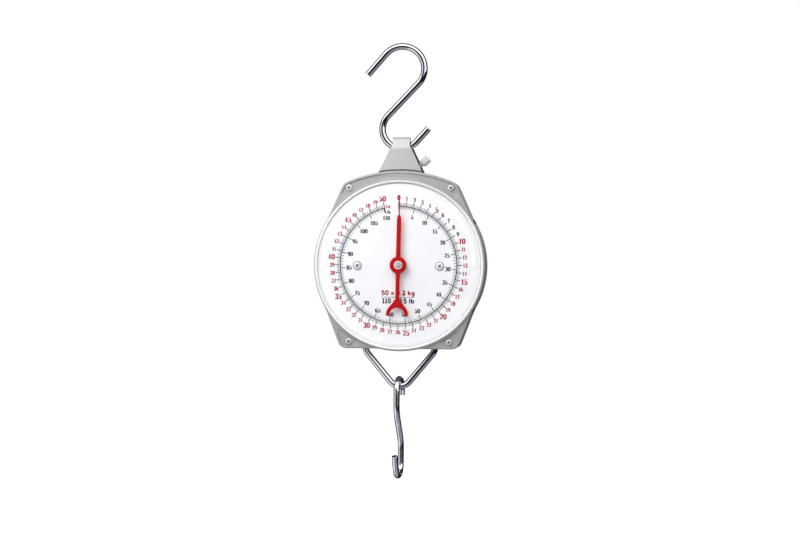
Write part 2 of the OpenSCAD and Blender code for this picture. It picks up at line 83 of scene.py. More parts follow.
class Graph:
    """A small helper that makes nodes and links by name."""

    def __init__(self, name):
        self.mat = bpy.data.materials.new(name)
        self.mat.use_nodes = True
        self.nt = self.mat.node_tree
        self.bsdf = self.nt.nodes["Principled BSDF"]
        self.out = self.nt.nodes["Material Output"]
        self.coord = self.nt.nodes.new("ShaderNodeTexCoord")

    def link(self, a, b):
        self.nt.links.new(a, b)

    def mapping(self, scale=(1, 1, 1), rot=(0, 0, 0)):
        m = self.nt.nodes.new("ShaderNodeMapping")
        m.inputs["Scale"].default_value = scale
        m.inputs["Rotation"].default_value = rot
        self.link(self.coord.outputs["Object"], m.inputs["Vector"])
        return m.outputs[0]

    def noise(self, scale, detail=4.0, rough=0.55, vector=None, distortion=0.0):
        n = self.nt.nodes.new("ShaderNodeTexNoise")
        n.inputs["Scale"].default_value = scale
        n.inputs["Detail"].default_value = detail
        n.inputs["Roughness"].default_value = rough
        n.inputs["Distortion"].default_value = distortion
        self.link(vector or self.coord.outputs["Object"], n.inputs["Vector"])
        return n.outputs["Fac"]

    def ramp(self, fac, stops):
        r = self.nt.nodes.new("ShaderNodeValToRGB")
        e = r.color_ramp.elements
        while len(e) < len(stops):
            e.new(0.5)
        for i, (p, c) in enumerate(stops):
            e[i].position = p
            e[i].color = c if len(c) == 4 else (*c, 1)
        self.link(fac, r.inputs[0])
        return r.outputs[0]

    def remap(self, fac, a, b, c, d):
        r = self.nt.nodes.new("ShaderNodeMapRange")
        for k, v in zip(("From Min", "From Max", "To Min", "To Max"), (a, b, c, d)):
            r.inputs[k].default_value = v
        self.link(fac, r.inputs["Value"])
        return r.outputs[0]

    def math(self, op, a, b=None):
        m = self.nt.nodes.new("ShaderNodeMath")
        m.operation = op
        for i, v in enumerate((a, b)):
            if v is None:
                continue
            if isinstance(v, (int, float)):
                m.inputs[i].default_value = v
            else:
                self.link(v, m.inputs[i])
        return m.outputs[0]

    def mix(self, fac, a, b, mode="MIX"):
        m = self.nt.nodes.new("ShaderNodeMix")
        m.data_type = "RGBA"
        m.blend_type = mode
        if isinstance(fac, (int, float)):
            m.inputs[0].default_value = fac
        else:
            self.link(fac, m.inputs[0])
        for i, v in ((6, a), (7, b)):
            if isinstance(v, tuple):
                m.inputs[i].default_value = (*v, 1) if len(v) == 3 else v
            else:
                self.link(v, m.inputs[i])
        return m.outputs[2]

    def bump(self, height, strength, distance, normal=None):
        b = self.nt.nodes.new("ShaderNodeBump")
        b.inputs["Strength"].default_value = strength
        b.inputs["Distance"].default_value = distance
        self.link(height, b.inputs["Height"])
        if normal is not None:
            self.link(normal, b.inputs["Normal"])
        return b.outputs[0]

    def radius(self, x, z):
        """Distance in metres from the line through x and z (mm) along Y."""
        sep = self.nt.nodes.new("ShaderNodeSeparateXYZ")
        self.link(self.coord.outputs["Object"], sep.inputs[0])
        dx = self.math("SUBTRACT", sep.outputs[0], x * MM)
        dz = self.math("SUBTRACT", sep.outputs[2], z * MM)
        return self.math("SQRT", self.math("ADD", self.math("MULTIPLY", dx, dx), self.math("MULTIPLY", dz, dz)))

    def height(self):
        sep = self.nt.nodes.new("ShaderNodeSeparateXYZ")
        self.link(self.coord.outputs["Object"], sep.inputs[0])
        return sep.outputs[2]

    def point(self):
        g = self.nt.nodes.new("ShaderNodeNewGeometry")
        return g.outputs["Pointiness"]

    def set(self, **kw):
        names = {"color": "Base Color", "metal": "Metallic", "rough": "Roughness",
                 "normal": "Normal", "coat": "Coat Weight", "coat_rough": "Coat Roughness",
                 "spec": "Specular IOR Level", "ior": "IOR", "transmission": "Transmission Weight",
                 "aniso": "Anisotropic"}
        for k, v in kw.items():
            s = self.bsdf.inputs[names[k]]
            if isinstance(v, (int, float)):
                s.default_value = v
            elif isinstance(v, tuple):
                s.default_value = (*v, 1) if len(v) == 3 else v
            else:
                self.link(v, s)
        return self.mat


def chrome(name, tint=(0.83, 0.845, 0.875), rough=(0.02, 0.05)):
    g = Graph(name)
    cloud = g.noise(90.0, 5.0)
    fine = g.noise(2600.0, 3.0, 0.6)
    streak = g.noise(60.0, 4.0, 0.7, g.mapping((1, 1, 22)))
    r = g.math("ADD", g.remap(cloud, 0.35, 0.7, rough[0], rough[1]), g.remap(fine, 0.5, 0.8, 0.0, 0.015))
    r = g.math("ADD", r, g.remap(streak, 0.62, 0.8, 0.0, 0.05))
    c = g.mix(g.remap(cloud, 0.3, 0.75, 0.0, 1.0), tint, tuple(v * 0.93 for v in tint))
    n = g.bump(fine, 0.008, 0.00004)
    n = g.bump(streak, 0.015, 0.0001, n)
    return g.set(color=c, metal=1.0, rough=r, normal=n)


def paint(name, base, worn=(0.62, 0.61, 0.60), bead=None, gap_shadow=None, roof=None):
    """Sprayed satin enamel on pressed steel: fine orange peel, faint clouding, worn bright edges, painted shade in
    creases.
    bead: a lighter band between two radii about the dial, a painted highlight, darker towards the top as painted shade.
    gap_shadow: a dark line at a radius about a point, a painted shadow.
    roof: heights where the strap's folded top starts, painted lighter as painted light, and where its fold is painted
    darker as painted shade."""
    g = Graph(name)
    cloud = g.noise(16.0, 5.0)
    fine = g.noise(900.0, 2.0, 0.5)
    speck = g.noise(420.0, 6.0, 0.75)
    c = g.mix(g.remap(cloud, 0.3, 0.72, 0.0, 1.0), tuple(v * 1.03 for v in base), tuple(v * 0.955 for v in base))
    c = g.mix(g.remap(speck, 0.66, 0.76, 0.0, 0.12), c, tuple(v * 0.72 for v in base))
    edge = g.math("MULTIPLY", g.remap(g.point(), 0.53, 0.62, 0.0, 1.0), g.remap(speck, 0.42, 0.62, 0.0, 1.0))
    c = g.mix(g.math("MULTIPLY", edge, 0.35), c, worn)
    # painted shade: concave spots and creases are darkened towards a deep tone of the base
    crease_shade = g.remap(g.point(), 0.44, 0.49, 0.55, 0.0)
    c = g.mix(crease_shade, c, tuple(v * 0.45 for v in base))
    if roof:
        # painted light: the strap's roof above the crease is painted lighter; painted shade: the top of its fold is
        # painted darker
        z = g.height()
        c = g.mix(g.remap(z, (roof[0] - 0.3) * MM, (roof[0] + 0.3) * MM, 0.0, 1.0), c, tuple(v * 1.3 for v in base))
        c = g.mix(g.remap(z, roof[1] * MM, (roof[1] + 3.0) * MM, 0.0, 0.62), c, tuple(v * 0.35 for v in base))
    if bead:
        # painted highlight: the bead's band is painted near white, and darker towards the top as painted shade
        r0, r1, highlight_tone = bead
        d = g.radius(0.0, ZD)
        highlight_band = g.math("MULTIPLY", g.remap(d, (r0 - 0.25) * MM, (r0 + 0.25) * MM, 0.0, 1.0), g.remap(d, (r1 - 0.2) * MM, (r1 + 0.2) * MM, 1.0, 0.0))
        ring = g.mix(g.remap(cloud, 0.3, 0.72, 0.0, 1.0), highlight_tone, tuple(v * 0.96 for v in highlight_tone))
        ring = g.mix(g.remap(g.height(), (ZD + 40) * MM, (ZD + 84) * MM, 0.0, 1.0), ring, tuple(v * 0.72 for v in highlight_tone))
        c = g.mix(highlight_band, c, ring)
    if gap_shadow:
        # painted shadow: a near-black line at a radius about a point, standing in for the shadow of a gap
        cz, r0, half, depth = gap_shadow
        d = g.math("ABSOLUTE", g.math("SUBTRACT", g.radius(0.0, cz), r0 * MM))
        line = g.math("MULTIPLY", g.remap(d, half * 0.5 * MM, half * MM, depth, 0.0), g.remap(speck, 0.2, 0.5, 0.8, 1.0))
        c = g.mix(line, c, (0.03, 0.029, 0.028))
    r = g.math("ADD", g.remap(cloud, 0.3, 0.7, 0.34, 0.44), g.remap(fine, 0.4, 0.7, 0.0, 0.05))
    n = g.bump(fine, 0.045, 0.00006)
    n = g.bump(cloud, 0.05, 0.0006, n)
    return g.set(color=c, metal=0.0, rough=r, normal=n, coat=0.12, coat_rough=0.25, spec=0.5)


def steel(name, base, rough=(0.25, 0.42), brushed=(1, 1, 30), metal=1.0):
    """Zinc-plated or turned steel with a fine grain."""
    g = Graph(name)
    grain = g.noise(220.0, 4.0, 0.7, g.mapping(brushed))
    cloud = g.noise(130.0, 4.0)
    c = g.mix(g.remap(cloud, 0.3, 0.7, 0.0, 1.0), base, tuple(v * 0.86 for v in base))
    c = g.mix(g.remap(grain, 0.5, 0.75, 0.0, 0.3), c, tuple(min(1, v * 1.15) for v in base))
    r = g.remap(grain, 0.3, 0.7, rough[0], rough[1])
    n = g.bump(grain, 0.12, 0.00006)
    return g.set(color=c, metal=metal, rough=r, normal=n)


def enamel(name, base, rough=0.28, coat=0.3, depth=0.06):
    """Smooth glossy enamel with a very fine ripple."""
    g = Graph(name)
    cloud = g.noise(45.0, 4.0)
    fine = g.noise(700.0, 2.0)
    c = g.mix(g.remap(cloud, 0.3, 0.7, 0.0, 1.0), base, tuple(v * 0.93 for v in base))
    r = g.remap(cloud, 0.3, 0.7, rough, rough + 0.08)
    return g.set(color=c, metal=0.0, rough=r, normal=g.bump(fine, depth, 0.00006), coat=coat, coat_rough=0.12, spec=0.2)


def ink(name, base):
    """Screen-printed ink, slightly uneven in density."""
    g = Graph(name)
    n1 = g.noise(1500.0, 3.0)
    n2 = g.noise(160.0, 3.0)
    c = g.mix(g.remap(n1, 0.35, 0.7, 0.0, 0.25), base, tuple(min(1.0, v * 1.35 + 0.02) for v in base))
    c = g.mix(g.remap(n2, 0.4, 0.7, 0.0, 0.2), c, tuple(v * 0.8 for v in base))
    return g.set(color=c, rough=g.remap(n1, 0.3, 0.7, 0.42, 0.58), normal=g.bump(n1, 0.05, 0.00003), spec=0.15)


def clear_plastic(name):
    """Clear moulded plastic, thin and glossy. Lamps and soft light pass straight through it."""
    g = Graph(name)
    cloud = g.noise(26.0, 3.0)
    fine = g.noise(700.0, 2.0)
    g.set(color=g.mix(g.remap(cloud, 0.3, 0.7, 0.0, 1.0), (0.985, 0.988, 0.995), (0.975, 0.98, 0.99)),
          metal=0.0, rough=g.remap(cloud, 0.3, 0.7, 0.0, 0.006), ior=1.49, transmission=1.0,
          normal=g.bump(fine, 0.004, 0.00002))
    clear = g.nt.nodes.new("ShaderNodeBsdfTransparent")
    clear.inputs[0].default_value = (0.985, 0.987, 0.99, 1)
    path = g.nt.nodes.new("ShaderNodeLightPath")
    fac = g.math("MAXIMUM", path.outputs["Is Shadow Ray"], path.outputs["Is Diffuse Ray"])
    mixer = g.nt.nodes.new("ShaderNodeMixShader")
    g.link(fac, mixer.inputs[0])
    g.link(g.bsdf.outputs[0], mixer.inputs[1])
    g.link(clear.outputs[0], mixer.inputs[2])
    g.link(mixer.outputs[0], g.out.inputs["Surface"])
    return g.mat


M = {
    "chrome": chrome("chrome_wire"),
    "hook": chrome("hook_chrome", (0.90, 0.92, 0.96), (0.13, 0.18)),
    "cap": steel("cap_nickel", (0.56, 0.49, 0.475), (0.45, 0.6), (6, 6, 6), 0.35),
    "rim": steel("cap_rim", (0.86, 0.86, 0.87), (0.3, 0.4), (6, 6, 6), 0.3),
    # darker metal for screw recesses and head rims: painted shade
    "recess": steel("screw_painted_shade", (0.26, 0.26, 0.27), (0.5, 0.62), (6, 6, 6), 0.2),
    # the bead's near-white band is a painted highlight, darker towards the top as painted shade
    "paint": paint("grey_enamel", (0.345, 0.340, 0.333), bead=(85.2, 88.8, (0.86, 0.86, 0.87))),
    # the yoke's enamel: a painted shadow line just above the casing's top arc, a roof painted lighter as painted light,
    # a fold painted darker as painted shade
    "yoke": paint("grey_enamel_yoke", (0.40, 0.394, 0.386), gap_shadow=(ZD + TOP_C, TOP_R + 1.15, 0.95, 1.0), roof=(-103.2, -95.2)),
    "back": paint("grey_enamel_back", (0.36, 0.355, 0.348)),
    # near-black enamel for the yoke's inner faces, roof underside and cut edges: painted shade
    "inside": paint("shaded_enamel", (0.045, 0.045, 0.047), (0.1, 0.1, 0.1)),
    "steel": steel("bright_zinc", (0.70, 0.70, 0.70)),
    "screw": steel("screw_zinc", (0.74, 0.74, 0.73), (0.42, 0.55), (6, 6, 6), 0.35),
    "bright": steel("bright_screw", (0.93, 0.93, 0.93), (0.4, 0.55), (6, 6, 6), 0.2),
    "knob": steel("knob_nickel", (0.74, 0.75, 0.74), (0.34, 0.48), (8, 8, 8), 0.3),
    "dark": steel("black_oxide", (0.055, 0.058, 0.062), (0.3, 0.5), (6, 6, 6), 0.8),
    "spring": steel("spring_wire", (0.42, 0.42, 0.43), (0.25, 0.4), (4, 4, 4)),
    "brass": steel("machined_brass", (0.66, 0.46, 0.17), (0.22, 0.4), (20, 20, 1)),
    "dial": enamel("dial_enamel", (0.93, 0.925, 0.945), 0.5, 0.0, 0.02),
    "red": enamel("red_enamel", (0.47, 0.0, 0.0), 0.42, 0.0, 0.03),
    "seal": enamel("gasket_rubber", (0.55, 0.55, 0.54), 0.7, 0.0, 0.2),
    "black_ink": ink("black_ink", (0.010, 0.010, 0.014)),
    "grey_ink": ink("grey_ink", (0.018, 0.018, 0.024)),
    "red_ink": ink("red_ink", (0.40, 0.004, 0.035)),
    "lens": clear_plastic("clear_lens"),
}


# ------------------------------------------------------------ mesh helpers

def sharpen(me, angle):
    """Smooth shading with edges sharper than angle kept crisp."""
    bm = bmesh.new()
    bm.from_mesh(me)
    for f in bm.faces:
        f.smooth = True
    for e in bm.edges:
        e.smooth = len(e.link_faces) == 2 and e.calc_face_angle(0.0) < angle
    bm.to_mesh(me)
    bm.free()


def add(name, verts, faces, mat, angle=35.0, merge=None, flip=False):
    """A mesh object from vertices in millimetres."""
    me = bpy.data.meshes.new(name)
    me.from_pydata([(x * MM, y * MM, z * MM) for x, y, z in verts], [], faces)
    bm = bmesh.new()
    bm.from_mesh(me)
    if merge is not None:
        bmesh.ops.remove_doubles(bm, verts=bm.verts, dist=merge * MM)
    bmesh.ops.recalc_face_normals(bm, faces=bm.faces)
    if flip:
        bmesh.ops.reverse_faces(bm, faces=bm.faces)
    bm.to_mesh(me)
    bm.free()
    if angle is not None:
        sharpen(me, radians(angle))
    obj = bpy.data.objects.new(name, me)
    scene.collection.objects.link(obj)
    if mat is not None:
        me.materials.append(mat)
    return obj


def baked(obj, angle=35.0):
    """Applies obj's modifiers and keeps crisp edges crisp."""
    bpy.context.view_layer.update()
    dg = bpy.context.evaluated_depsgraph_get()
    me = bpy.data.meshes.new_from_object(obj.evaluated_get(dg))
    obj.modifiers.clear()
    obj.data = me
    if angle is not None:
        sharpen(me, radians(angle))
    return obj


def cut(obj, cutters, solver="EXACT"):
    for c in cutters:
        m = obj.modifiers.new("cut", "BOOLEAN")
        m.operation = "DIFFERENCE"
        m.solver = solver
        m.object = c
    baked(obj, None)
    for c in cutters:
        bpy.data.objects.remove(c)
    return obj


def bevel(obj, width, segments=2, angle=30.0, keep=35.0):
    m = obj.modifiers.new("edge", "BEVEL")
    m.width = width * MM
    m.segments = segments
    m.limit_method = "ANGLE"
    m.angle_limit = radians(angle)
    m.harden_normals = False
    m.use_clamp_overlap = True
    return baked(obj, keep)


def box_mesh(name, lo, hi, mat=None):
    v = [(x, y, z) for x in (lo[0], hi[0]) for y in (lo[1], hi[1]) for z in (lo[2], hi[2])]
    f = [(0, 1, 3, 2), (4, 6, 7, 5), (0, 4, 5, 1), (2, 3, 7, 6), (0, 2, 6, 4), (1, 5, 7, 3)]
    return add(name, v, f, mat, None)


def lathe(profile, n, place, closed_ends=True, modulate=None):
    """Revolves [(radius, height)] about place's own Z; returns vertices and faces."""
    verts, faces = [], []
    rings = []
    for r, h in profile:
        if r < 1e-6:
            verts.append(place @ Vector((0, 0, h)))
            rings.append([len(verts) - 1])
            continue
        ring = []
        for i in range(n):
            a = 2 * pi * i / n
            q = r if modulate is None else modulate(r, h, a)
            verts.append(place @ Vector((q * cos(a), q * sin(a), h)))
            ring.append(len(verts) - 1)
        rings.append(ring)
    for a, b in zip(rings, rings[1:]):
        if len(a) == 1 and len(b) == 1:
            continue
        for i in range(n):
            j = (i + 1) % n
            if len(a) == 1:
                faces.append((a[0], b[j], b[i]))
            elif len(b) == 1:
                faces.append((a[i], a[j], b[0]))
            else:
                faces.append((a[i], a[j], b[j], b[i]))
    if closed_ends:
        for ring, back in ((rings[0], True), (rings[-1], False)):
            if len(ring) > 1:
                faces.append(tuple(reversed(ring)) if back else tuple(ring))
    return verts, faces


def along_y(x, z, y=0.0, front=True):
    """Frame whose Z points out of the dial (front) or out of the back, in mm."""
    r = Matrix.Rotation(radians(90 if front else -90), 4, "X")
    return Matrix.Translation((x, y, z)) @ r


def joined(parts):
    verts, faces = [], []
    for v, f in parts:
        k = len(verts)
        verts.extend(tuple(p) for p in v)
        faces.extend(tuple(i + k for i in g) for g in f)
    return verts, faces


def put(obj, body, *cad, slot=None):
    if cad:
        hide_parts(*cad)
    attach(obj, body)
    return obj


# ------------------------------------------------------------------- wires

def arc_pts(c, r, a0, a1, n):
    return [(c[0] + r * cos(radians(a0 + (a1 - a0) * i / n)), c[1] + r * sin(radians(a0 + (a1 - a0) * i / n)))
            for i in range(n + 1)]


def s_hook_path(c1, r1, a0, l0, s, l, r2, a1, l1):
    """Centre line in X and Z of the same S-hook as the CAD's, end to end."""
    def pol(c, r, a):
        return (c[0] + r * cos(radians(a)), c[1] + r * sin(radians(a)))
    p0 = pol(c1, r1, a0)
    e0 = (p0[0] - l0 * sin(radians(a0)), p0[1] + l0 * cos(radians(a0)))
    q1 = pol(c1, r1, s - 90)
    q2 = (q1[0] - l * cos(radians(s)), q1[1] - l * sin(radians(s)))
    c2 = (q2[0] + r2 * sin(radians(s)), q2[1] - r2 * cos(radians(s)))
    p1 = pol(c2, r2, a1)
    e1 = (p1[0] - l1 * sin(radians(a1)), p1[1] + l1 * cos(radians(a1)))
    pts = [e0]
    pts += arc_pts(c1, r1, a0, s - 90, 56)
    pts += [tuple(q1[k] + (q2[k] - q1[k]) * t for k in (0, 1)) for t in (0.25, 0.5, 0.75)]
    pts += arc_pts(c2, r2, s + 90, a1, 56)
    pts.append(e1)
    return pts


def load_hook_path():
    """Centre line of the lower hook: two U-shaped loops whose sides a slanting shank joins."""
    c1 = (-1.8, APEX + 3.5 + 3.3 + 0.55 - 12.2)
    r1, r2, rb = 12.2, 12.0, 24.0
    xf, xb, zu, zl = c1[0] + r1, 0.7 - 12.0, -380.0, -412.4
    ph = math.degrees(atan2(xf - xb, zu - zl))
    t = rb * math.tan(radians(ph / 2))
    p0 = (c1[0] + r1 * cos(radians(183)), c1[1] + r1 * sin(radians(183)))
    pts = [(p0[0] - 5 * sin(radians(183)), p0[1] + 5 * cos(radians(183)))]
    pts += arc_pts(c1, r1, 183, 0, 48)
    pts += arc_pts((xf - rb, zu + t), rb, 0, -ph, 14)
    pts += arc_pts((xb + rb, zl - t), rb, 180 - ph, 180, 14)
    c2 = (xb + r2, -435.0)
    pts += arc_pts(c2, r2, 180, 340, 44)
    p1 = pts[-1]
    pts.append((p1[0] - 14.9 * sin(radians(340)), p1[1] + 14.9 * cos(radians(340))))
    return pts


def wire(name, pts, r, mat, sides=40, bur=0.45, spin=0.0):
    """A round wire swept along a path in the XZ plane, with its cut ends' edges broken."""
    # trim the ends a little and shrink them, as a sheared and tumbled wire end
    def toward(a, b, d):
        n = hypot(b[0] - a[0], b[1] - a[1])
        return (a[0] + (b[0] - a[0]) * d / n, a[1] + (b[1] - a[1]) * d / n)
    lead, tail = pts[0], pts[-1]
    steps = [(0.0, r - bur), (bur * 0.13, r - bur * 0.5), (bur * 0.5, r - bur * 0.13), (bur, r)]
    path = [(toward(lead, pts[1], d), q) for d, q in steps]
    # a ring close behind each rounded edge keeps the straight wire's shading true
    path.append((toward(lead, pts[1], bur + 0.15), r))
    path += [(p, r) for p in pts[1:-1]]
    path.append((toward(tail, pts[-2], bur + 0.15), r))
    path += [(toward(tail, pts[-2], d), q) for d, q in reversed(steps)]
    verts, faces = [], []
    m = len(path)
    for i in range(m):
        a, b = path[max(i - 1, 0)][0], path[min(i + 1, m - 1)][0]
        t = Vector((b[0] - a[0], 0, b[1] - a[1])).normalized()
        u = Vector((0, 1, 0))
        v = t.cross(u)
        (px, pz), q = path[i]
        for k in range(sides):
            g = 2 * pi * k / sides
            verts.append(Vector((px, 0, pz)) + (u * cos(g) + v * sin(g)) * q)
    for i in range(m - 1):
        for k in range(sides):
            j = (k + 1) % sides
            faces.append((i * sides + k, i * sides + j, (i + 1) * sides + j, (i + 1) * sides + k))
    faces.append(tuple(range(sides)))
    faces.append(tuple((m - 1) * sides + k for k in reversed(range(sides))))
    if spin:
        turn = Matrix.Rotation(radians(spin), 4, "Z")
        verts = [turn @ p for p in verts]
    return add(name, verts, faces, mat, 40.0)


def make_wires():
    hook = wire("upper_s_hook", s_hook_path((0, -19.8), 23.3, 139, 28.8, 46.5, 46.06, 20.4, 317.6, 19.6), 3.5, M["chrome"], 48)
    put(hook, "upper_hook", "upper_hook", slot="chrome_wire")
    low = wire("load_s_hook", load_hook_path(), 3.3, M["hook"], 48, spin=-96.5)
    low.data.transform(Matrix.Translation((-1.0 * MM, 0, 0)))
    put(low, "lower_hook", "lower_hook", slot="chrome_wire")
    # bail: from the right end down round the V and up to the left end
    v, ra, rb, xl = 39.6, 13.2, 12.0, 36.7
    ca = (0, APEX + ra)
    zs = APEX - ra * (1 / sin(radians(v)) - 1) + xl / math.tan(radians(v))
    tl = rb * math.tan(radians(v / 2))
    cb = (xl - rb, zs + tl)
    half = [(24.5, PIVOT_BAIL)] + arc_pts((xl - 4, PIVOT_BAIL - 4), 4, 90, 0, 14)
    half += arc_pts(cb, rb, 0, -v, 16) + arc_pts(ca, ra, -v, -90, 16)
    pts = half + [(-x, z) for x, z in reversed(half[:-1])]
    bail = wire("wire_bail", pts, 3.5, M["chrome"], 40)
    put(bail, "bail", "bail", slot="chrome_wire")


make_wires()


# -------------------------------------------------------- casing pressings

def fillet(a, b, c, r, n):
    a, b, c = Vector(a), Vector(b), Vector(c)
    u, v = (a - b).normalized(), (c - b).normalized()
    h = math.acos(max(-1, min(1, u.dot(v)))) / 2
    o = b + (u + v).normalized() * (r / sin(h))
    p0, p1 = b + u * (r / math.tan(h)) - o, b + v * (r / math.tan(h)) - o
    s0, s1 = atan2(p0.y, p0.x), atan2(p1.y, p1.x)
    w = (s1 - s0 + pi) % (2 * pi) - pi
    return [(o.x + r * cos(s0 + w * i / n), o.y + r * sin(s0 + w * i / n)) for i in range(n + 1)]


def ear_up():
    def top(x):
        return (x, TOP_C + sqrt(TOP_R ** 2 - x * x))

    def side(z):
        return (88.7 - 0.408 * z) / 0.913
    z = 85.0
    for _ in range(14):
        z = top(side(z))[1]
    b = (side(z), z)
    f = fillet((side(48.9), 48.9), b, top(b[0] - 9), 8, 10)
    x0 = f[-1][0] - 0.8
    arc = [top(x0 * (1 - i / 16)) for i in range(33)]
    right = [(side(30.0), 30.0)] + f
    return right + arc + [(-x, z) for x, z in reversed(right)]


def ear_low():
    def side(z):
        return (88.5 + 0.359 * z) / 0.933
    b = (side(-87.2), -87.2)
    f = fillet((side(-45.6), -45.6), b, (0, -87.2), 8, 10)
    right = [(side(-30.0), -30.0)] + f
    return right + [(-x, z) for x, z in reversed(right)]


def ray(poly, a):
    """Distance from the dial centre to poly along angle a, or 0."""
    dx, dz = cos(a), sin(a)
    best = 0.0
    for (x0, z0), (x1, z1) in zip(poly, poly[1:]):
        ex, ez = x1 - x0, z1 - z0
        den = dx * ez - dz * ex
        if abs(den) < 1e-9:
            continue
        t = (x0 * ez - z0 * ex) / den
        s = (x0 * dz - z0 * dx) / den
        if t > 0 and -1e-6 <= s <= 1 + 1e-6:
            best = max(best, t)
    return best


def casing_outline(n=720):
    up, low = ear_up(), ear_low()
    raw = [max(BODY_R, ray(up, 2 * pi * i / n), ray(low, 2 * pi * i / n)) for i in range(n)]
    k = 4
    rad = [sum(raw[(i + j) % n] * (k + 1 - abs(j)) for j in range(-k, k + 1)) / (k + 1) ** 2 for i in range(n)]
    pts = [Vector((rad[i] * cos(2 * pi * i / n), rad[i] * sin(2 * pi * i / n))) for i in range(n)]
    nor = []
    for i in range(n):
        t = pts[(i + 2) % n] - pts[(i - 2) % n]
        nor.append(Vector((t.y, -t.x)).normalized())
    return pts, nor


def smooth(t, a, b):
    t = max(0.0, min(1.0, (t - a) / (b - a)))
    return t * t * (3 - 2 * t)


OUT_P, OUT_N = casing_outline()


def grid_faces(rows, n, closed=True):
    f = []
    for i in range(n if closed else n - 1):
        j = (i + 1) % n
        for k in range(rows - 1):
            f.append((i * rows + k, j * rows + k, j * rows + k + 1, i * rows + k + 1))
    return f


def solid_sheet(obj, t, offset=-1.0):
    m = obj.modifiers.new("sheet", "SOLIDIFY")
    m.thickness = t * MM
    m.offset = offset
    m.use_even_offset = False
    m.use_rim = True
    return baked(obj, 32.0)


def obround(name, x, y, r, z0, z1, n=20):
    pts = [(x + r * cos(a), y + r * sin(a)) for a in [pi * i / n for i in range(n + 1)]]
    pts += [(x + r * cos(a), -y + r * sin(a)) for a in [pi + pi * i / n for i in range(n + 1)]]
    k = len(pts)
    verts = [(px, py, z0) for px, py in pts] + [(px, py, z1) for px, py in pts]
    faces = [tuple(range(k)), tuple(range(2 * k - 1, k - 1, -1))]
    faces += [(i, (i + 1) % k, k + (i + 1) % k, k + i) for i in range(k)]
    return add(name, verts, faces, None, None)


def front_pressing():
    """Front pressing: rolled bead round the lens, ears with a sunk panel inside a raised border."""
    verts = []
    n = len(OUT_P)
    rows = None
    for i in range(n):
        p, nn = OUT_P[i], OUT_N[i]
        inner = 88.72
        avail = p.length - inner
        w = min(3.6, avail * 0.9)
        k = w / 3.6
        ear = smooth(avail, 8.0, 11.0)
        lip, deep = 0.3 * ear, 0.95 * ear
        col = []

        def off(d):
            return p - nn * (d * k)

        # skirt, from its rear edge forward
        for y in (-7.12, -7.35, -9.0, -11.0, -13.0):
            inset = 0.22 if y == -7.12 else 0.0
            q = p - nn * inset
            col.append((q.x, y, q.y))
        # rounded edge and raised border
        ro = 1.4
        top = FACE - lip
        for a in (0, 18, 36, 54, 72, 90):
            q = off(ro * (1 - cos(radians(a))))
            col.append((q.x, top + ro - ro * sin(radians(a)), q.y))
        # down to the sunk panel
        for d, y in ((1.9, 0.0), (2.2, 0.06), (2.6, 0.5), (3.0, 0.94), (3.6, 1.0)):
            q = off(d)
            col.append((q.x, top + (FACE + deep - top) * y, q.y))
        q = off(3.6)
        ang = atan2(q.y, q.x)
        rq = max(q.length, inner + 0.04)
        c, s = cos(ang), sin(ang)
        gap = rq - inner
        m = min(1.0, gap / 6.0)
        for t in (0.2, 0.45, 0.7, 1.0):
            r = rq + (inner + 2.7 * m - rq) * t
            col.append((r * c, FACE + deep, r * s))
        for d, y in ((2.4, 0.94), (2.0, 0.5), (1.6, 0.06), (1.3, 0.0), (0.45, 0.0)):
            r = inner + d * m
            col.append((r * c, FACE + deep * y, r * s))
        # bead, over its crest and down to the opening
        for r, y in ((88.70, -16.35), (88.66, -17.2), (88.45, -18.05), (88.05, -18.72), (87.5, -19.12), (86.95, -19.2),
                     (86.4, -19.0), (85.95, -18.5), (85.65, -17.9), (85.55, -17.2), (85.5, -16.6), (85.3, -16.2), (84.6, -16.02)):
            col.append((r * c, y, r * s))
        rows = len(col)
        verts.extend((x, y, z + ZD) for x, y, z in col)
    obj = add("front_pressing", verts, grid_faces(rows, n), M["paint"], None)
    # outward normals: towards -Y on the face
    bm = bmesh.new()
    bm.from_mesh(obj.data)
    mid = sum((f.normal.y * f.calc_area() for f in bm.faces))
    if mid > 0:
        bmesh.ops.reverse_faces(bm, faces=bm.faces)
    bm.to_mesh(obj.data)
    bm.free()
    solid_sheet(obj, 0.8)
    cut(obj, [box_mesh("slot_cut", (-24.2, -11.4, -140), (24.2, -6.0, -118))])
    sharpen(obj.data, radians(33))
    return put(obj, "housing", "front_shell", slot="grey_paint")


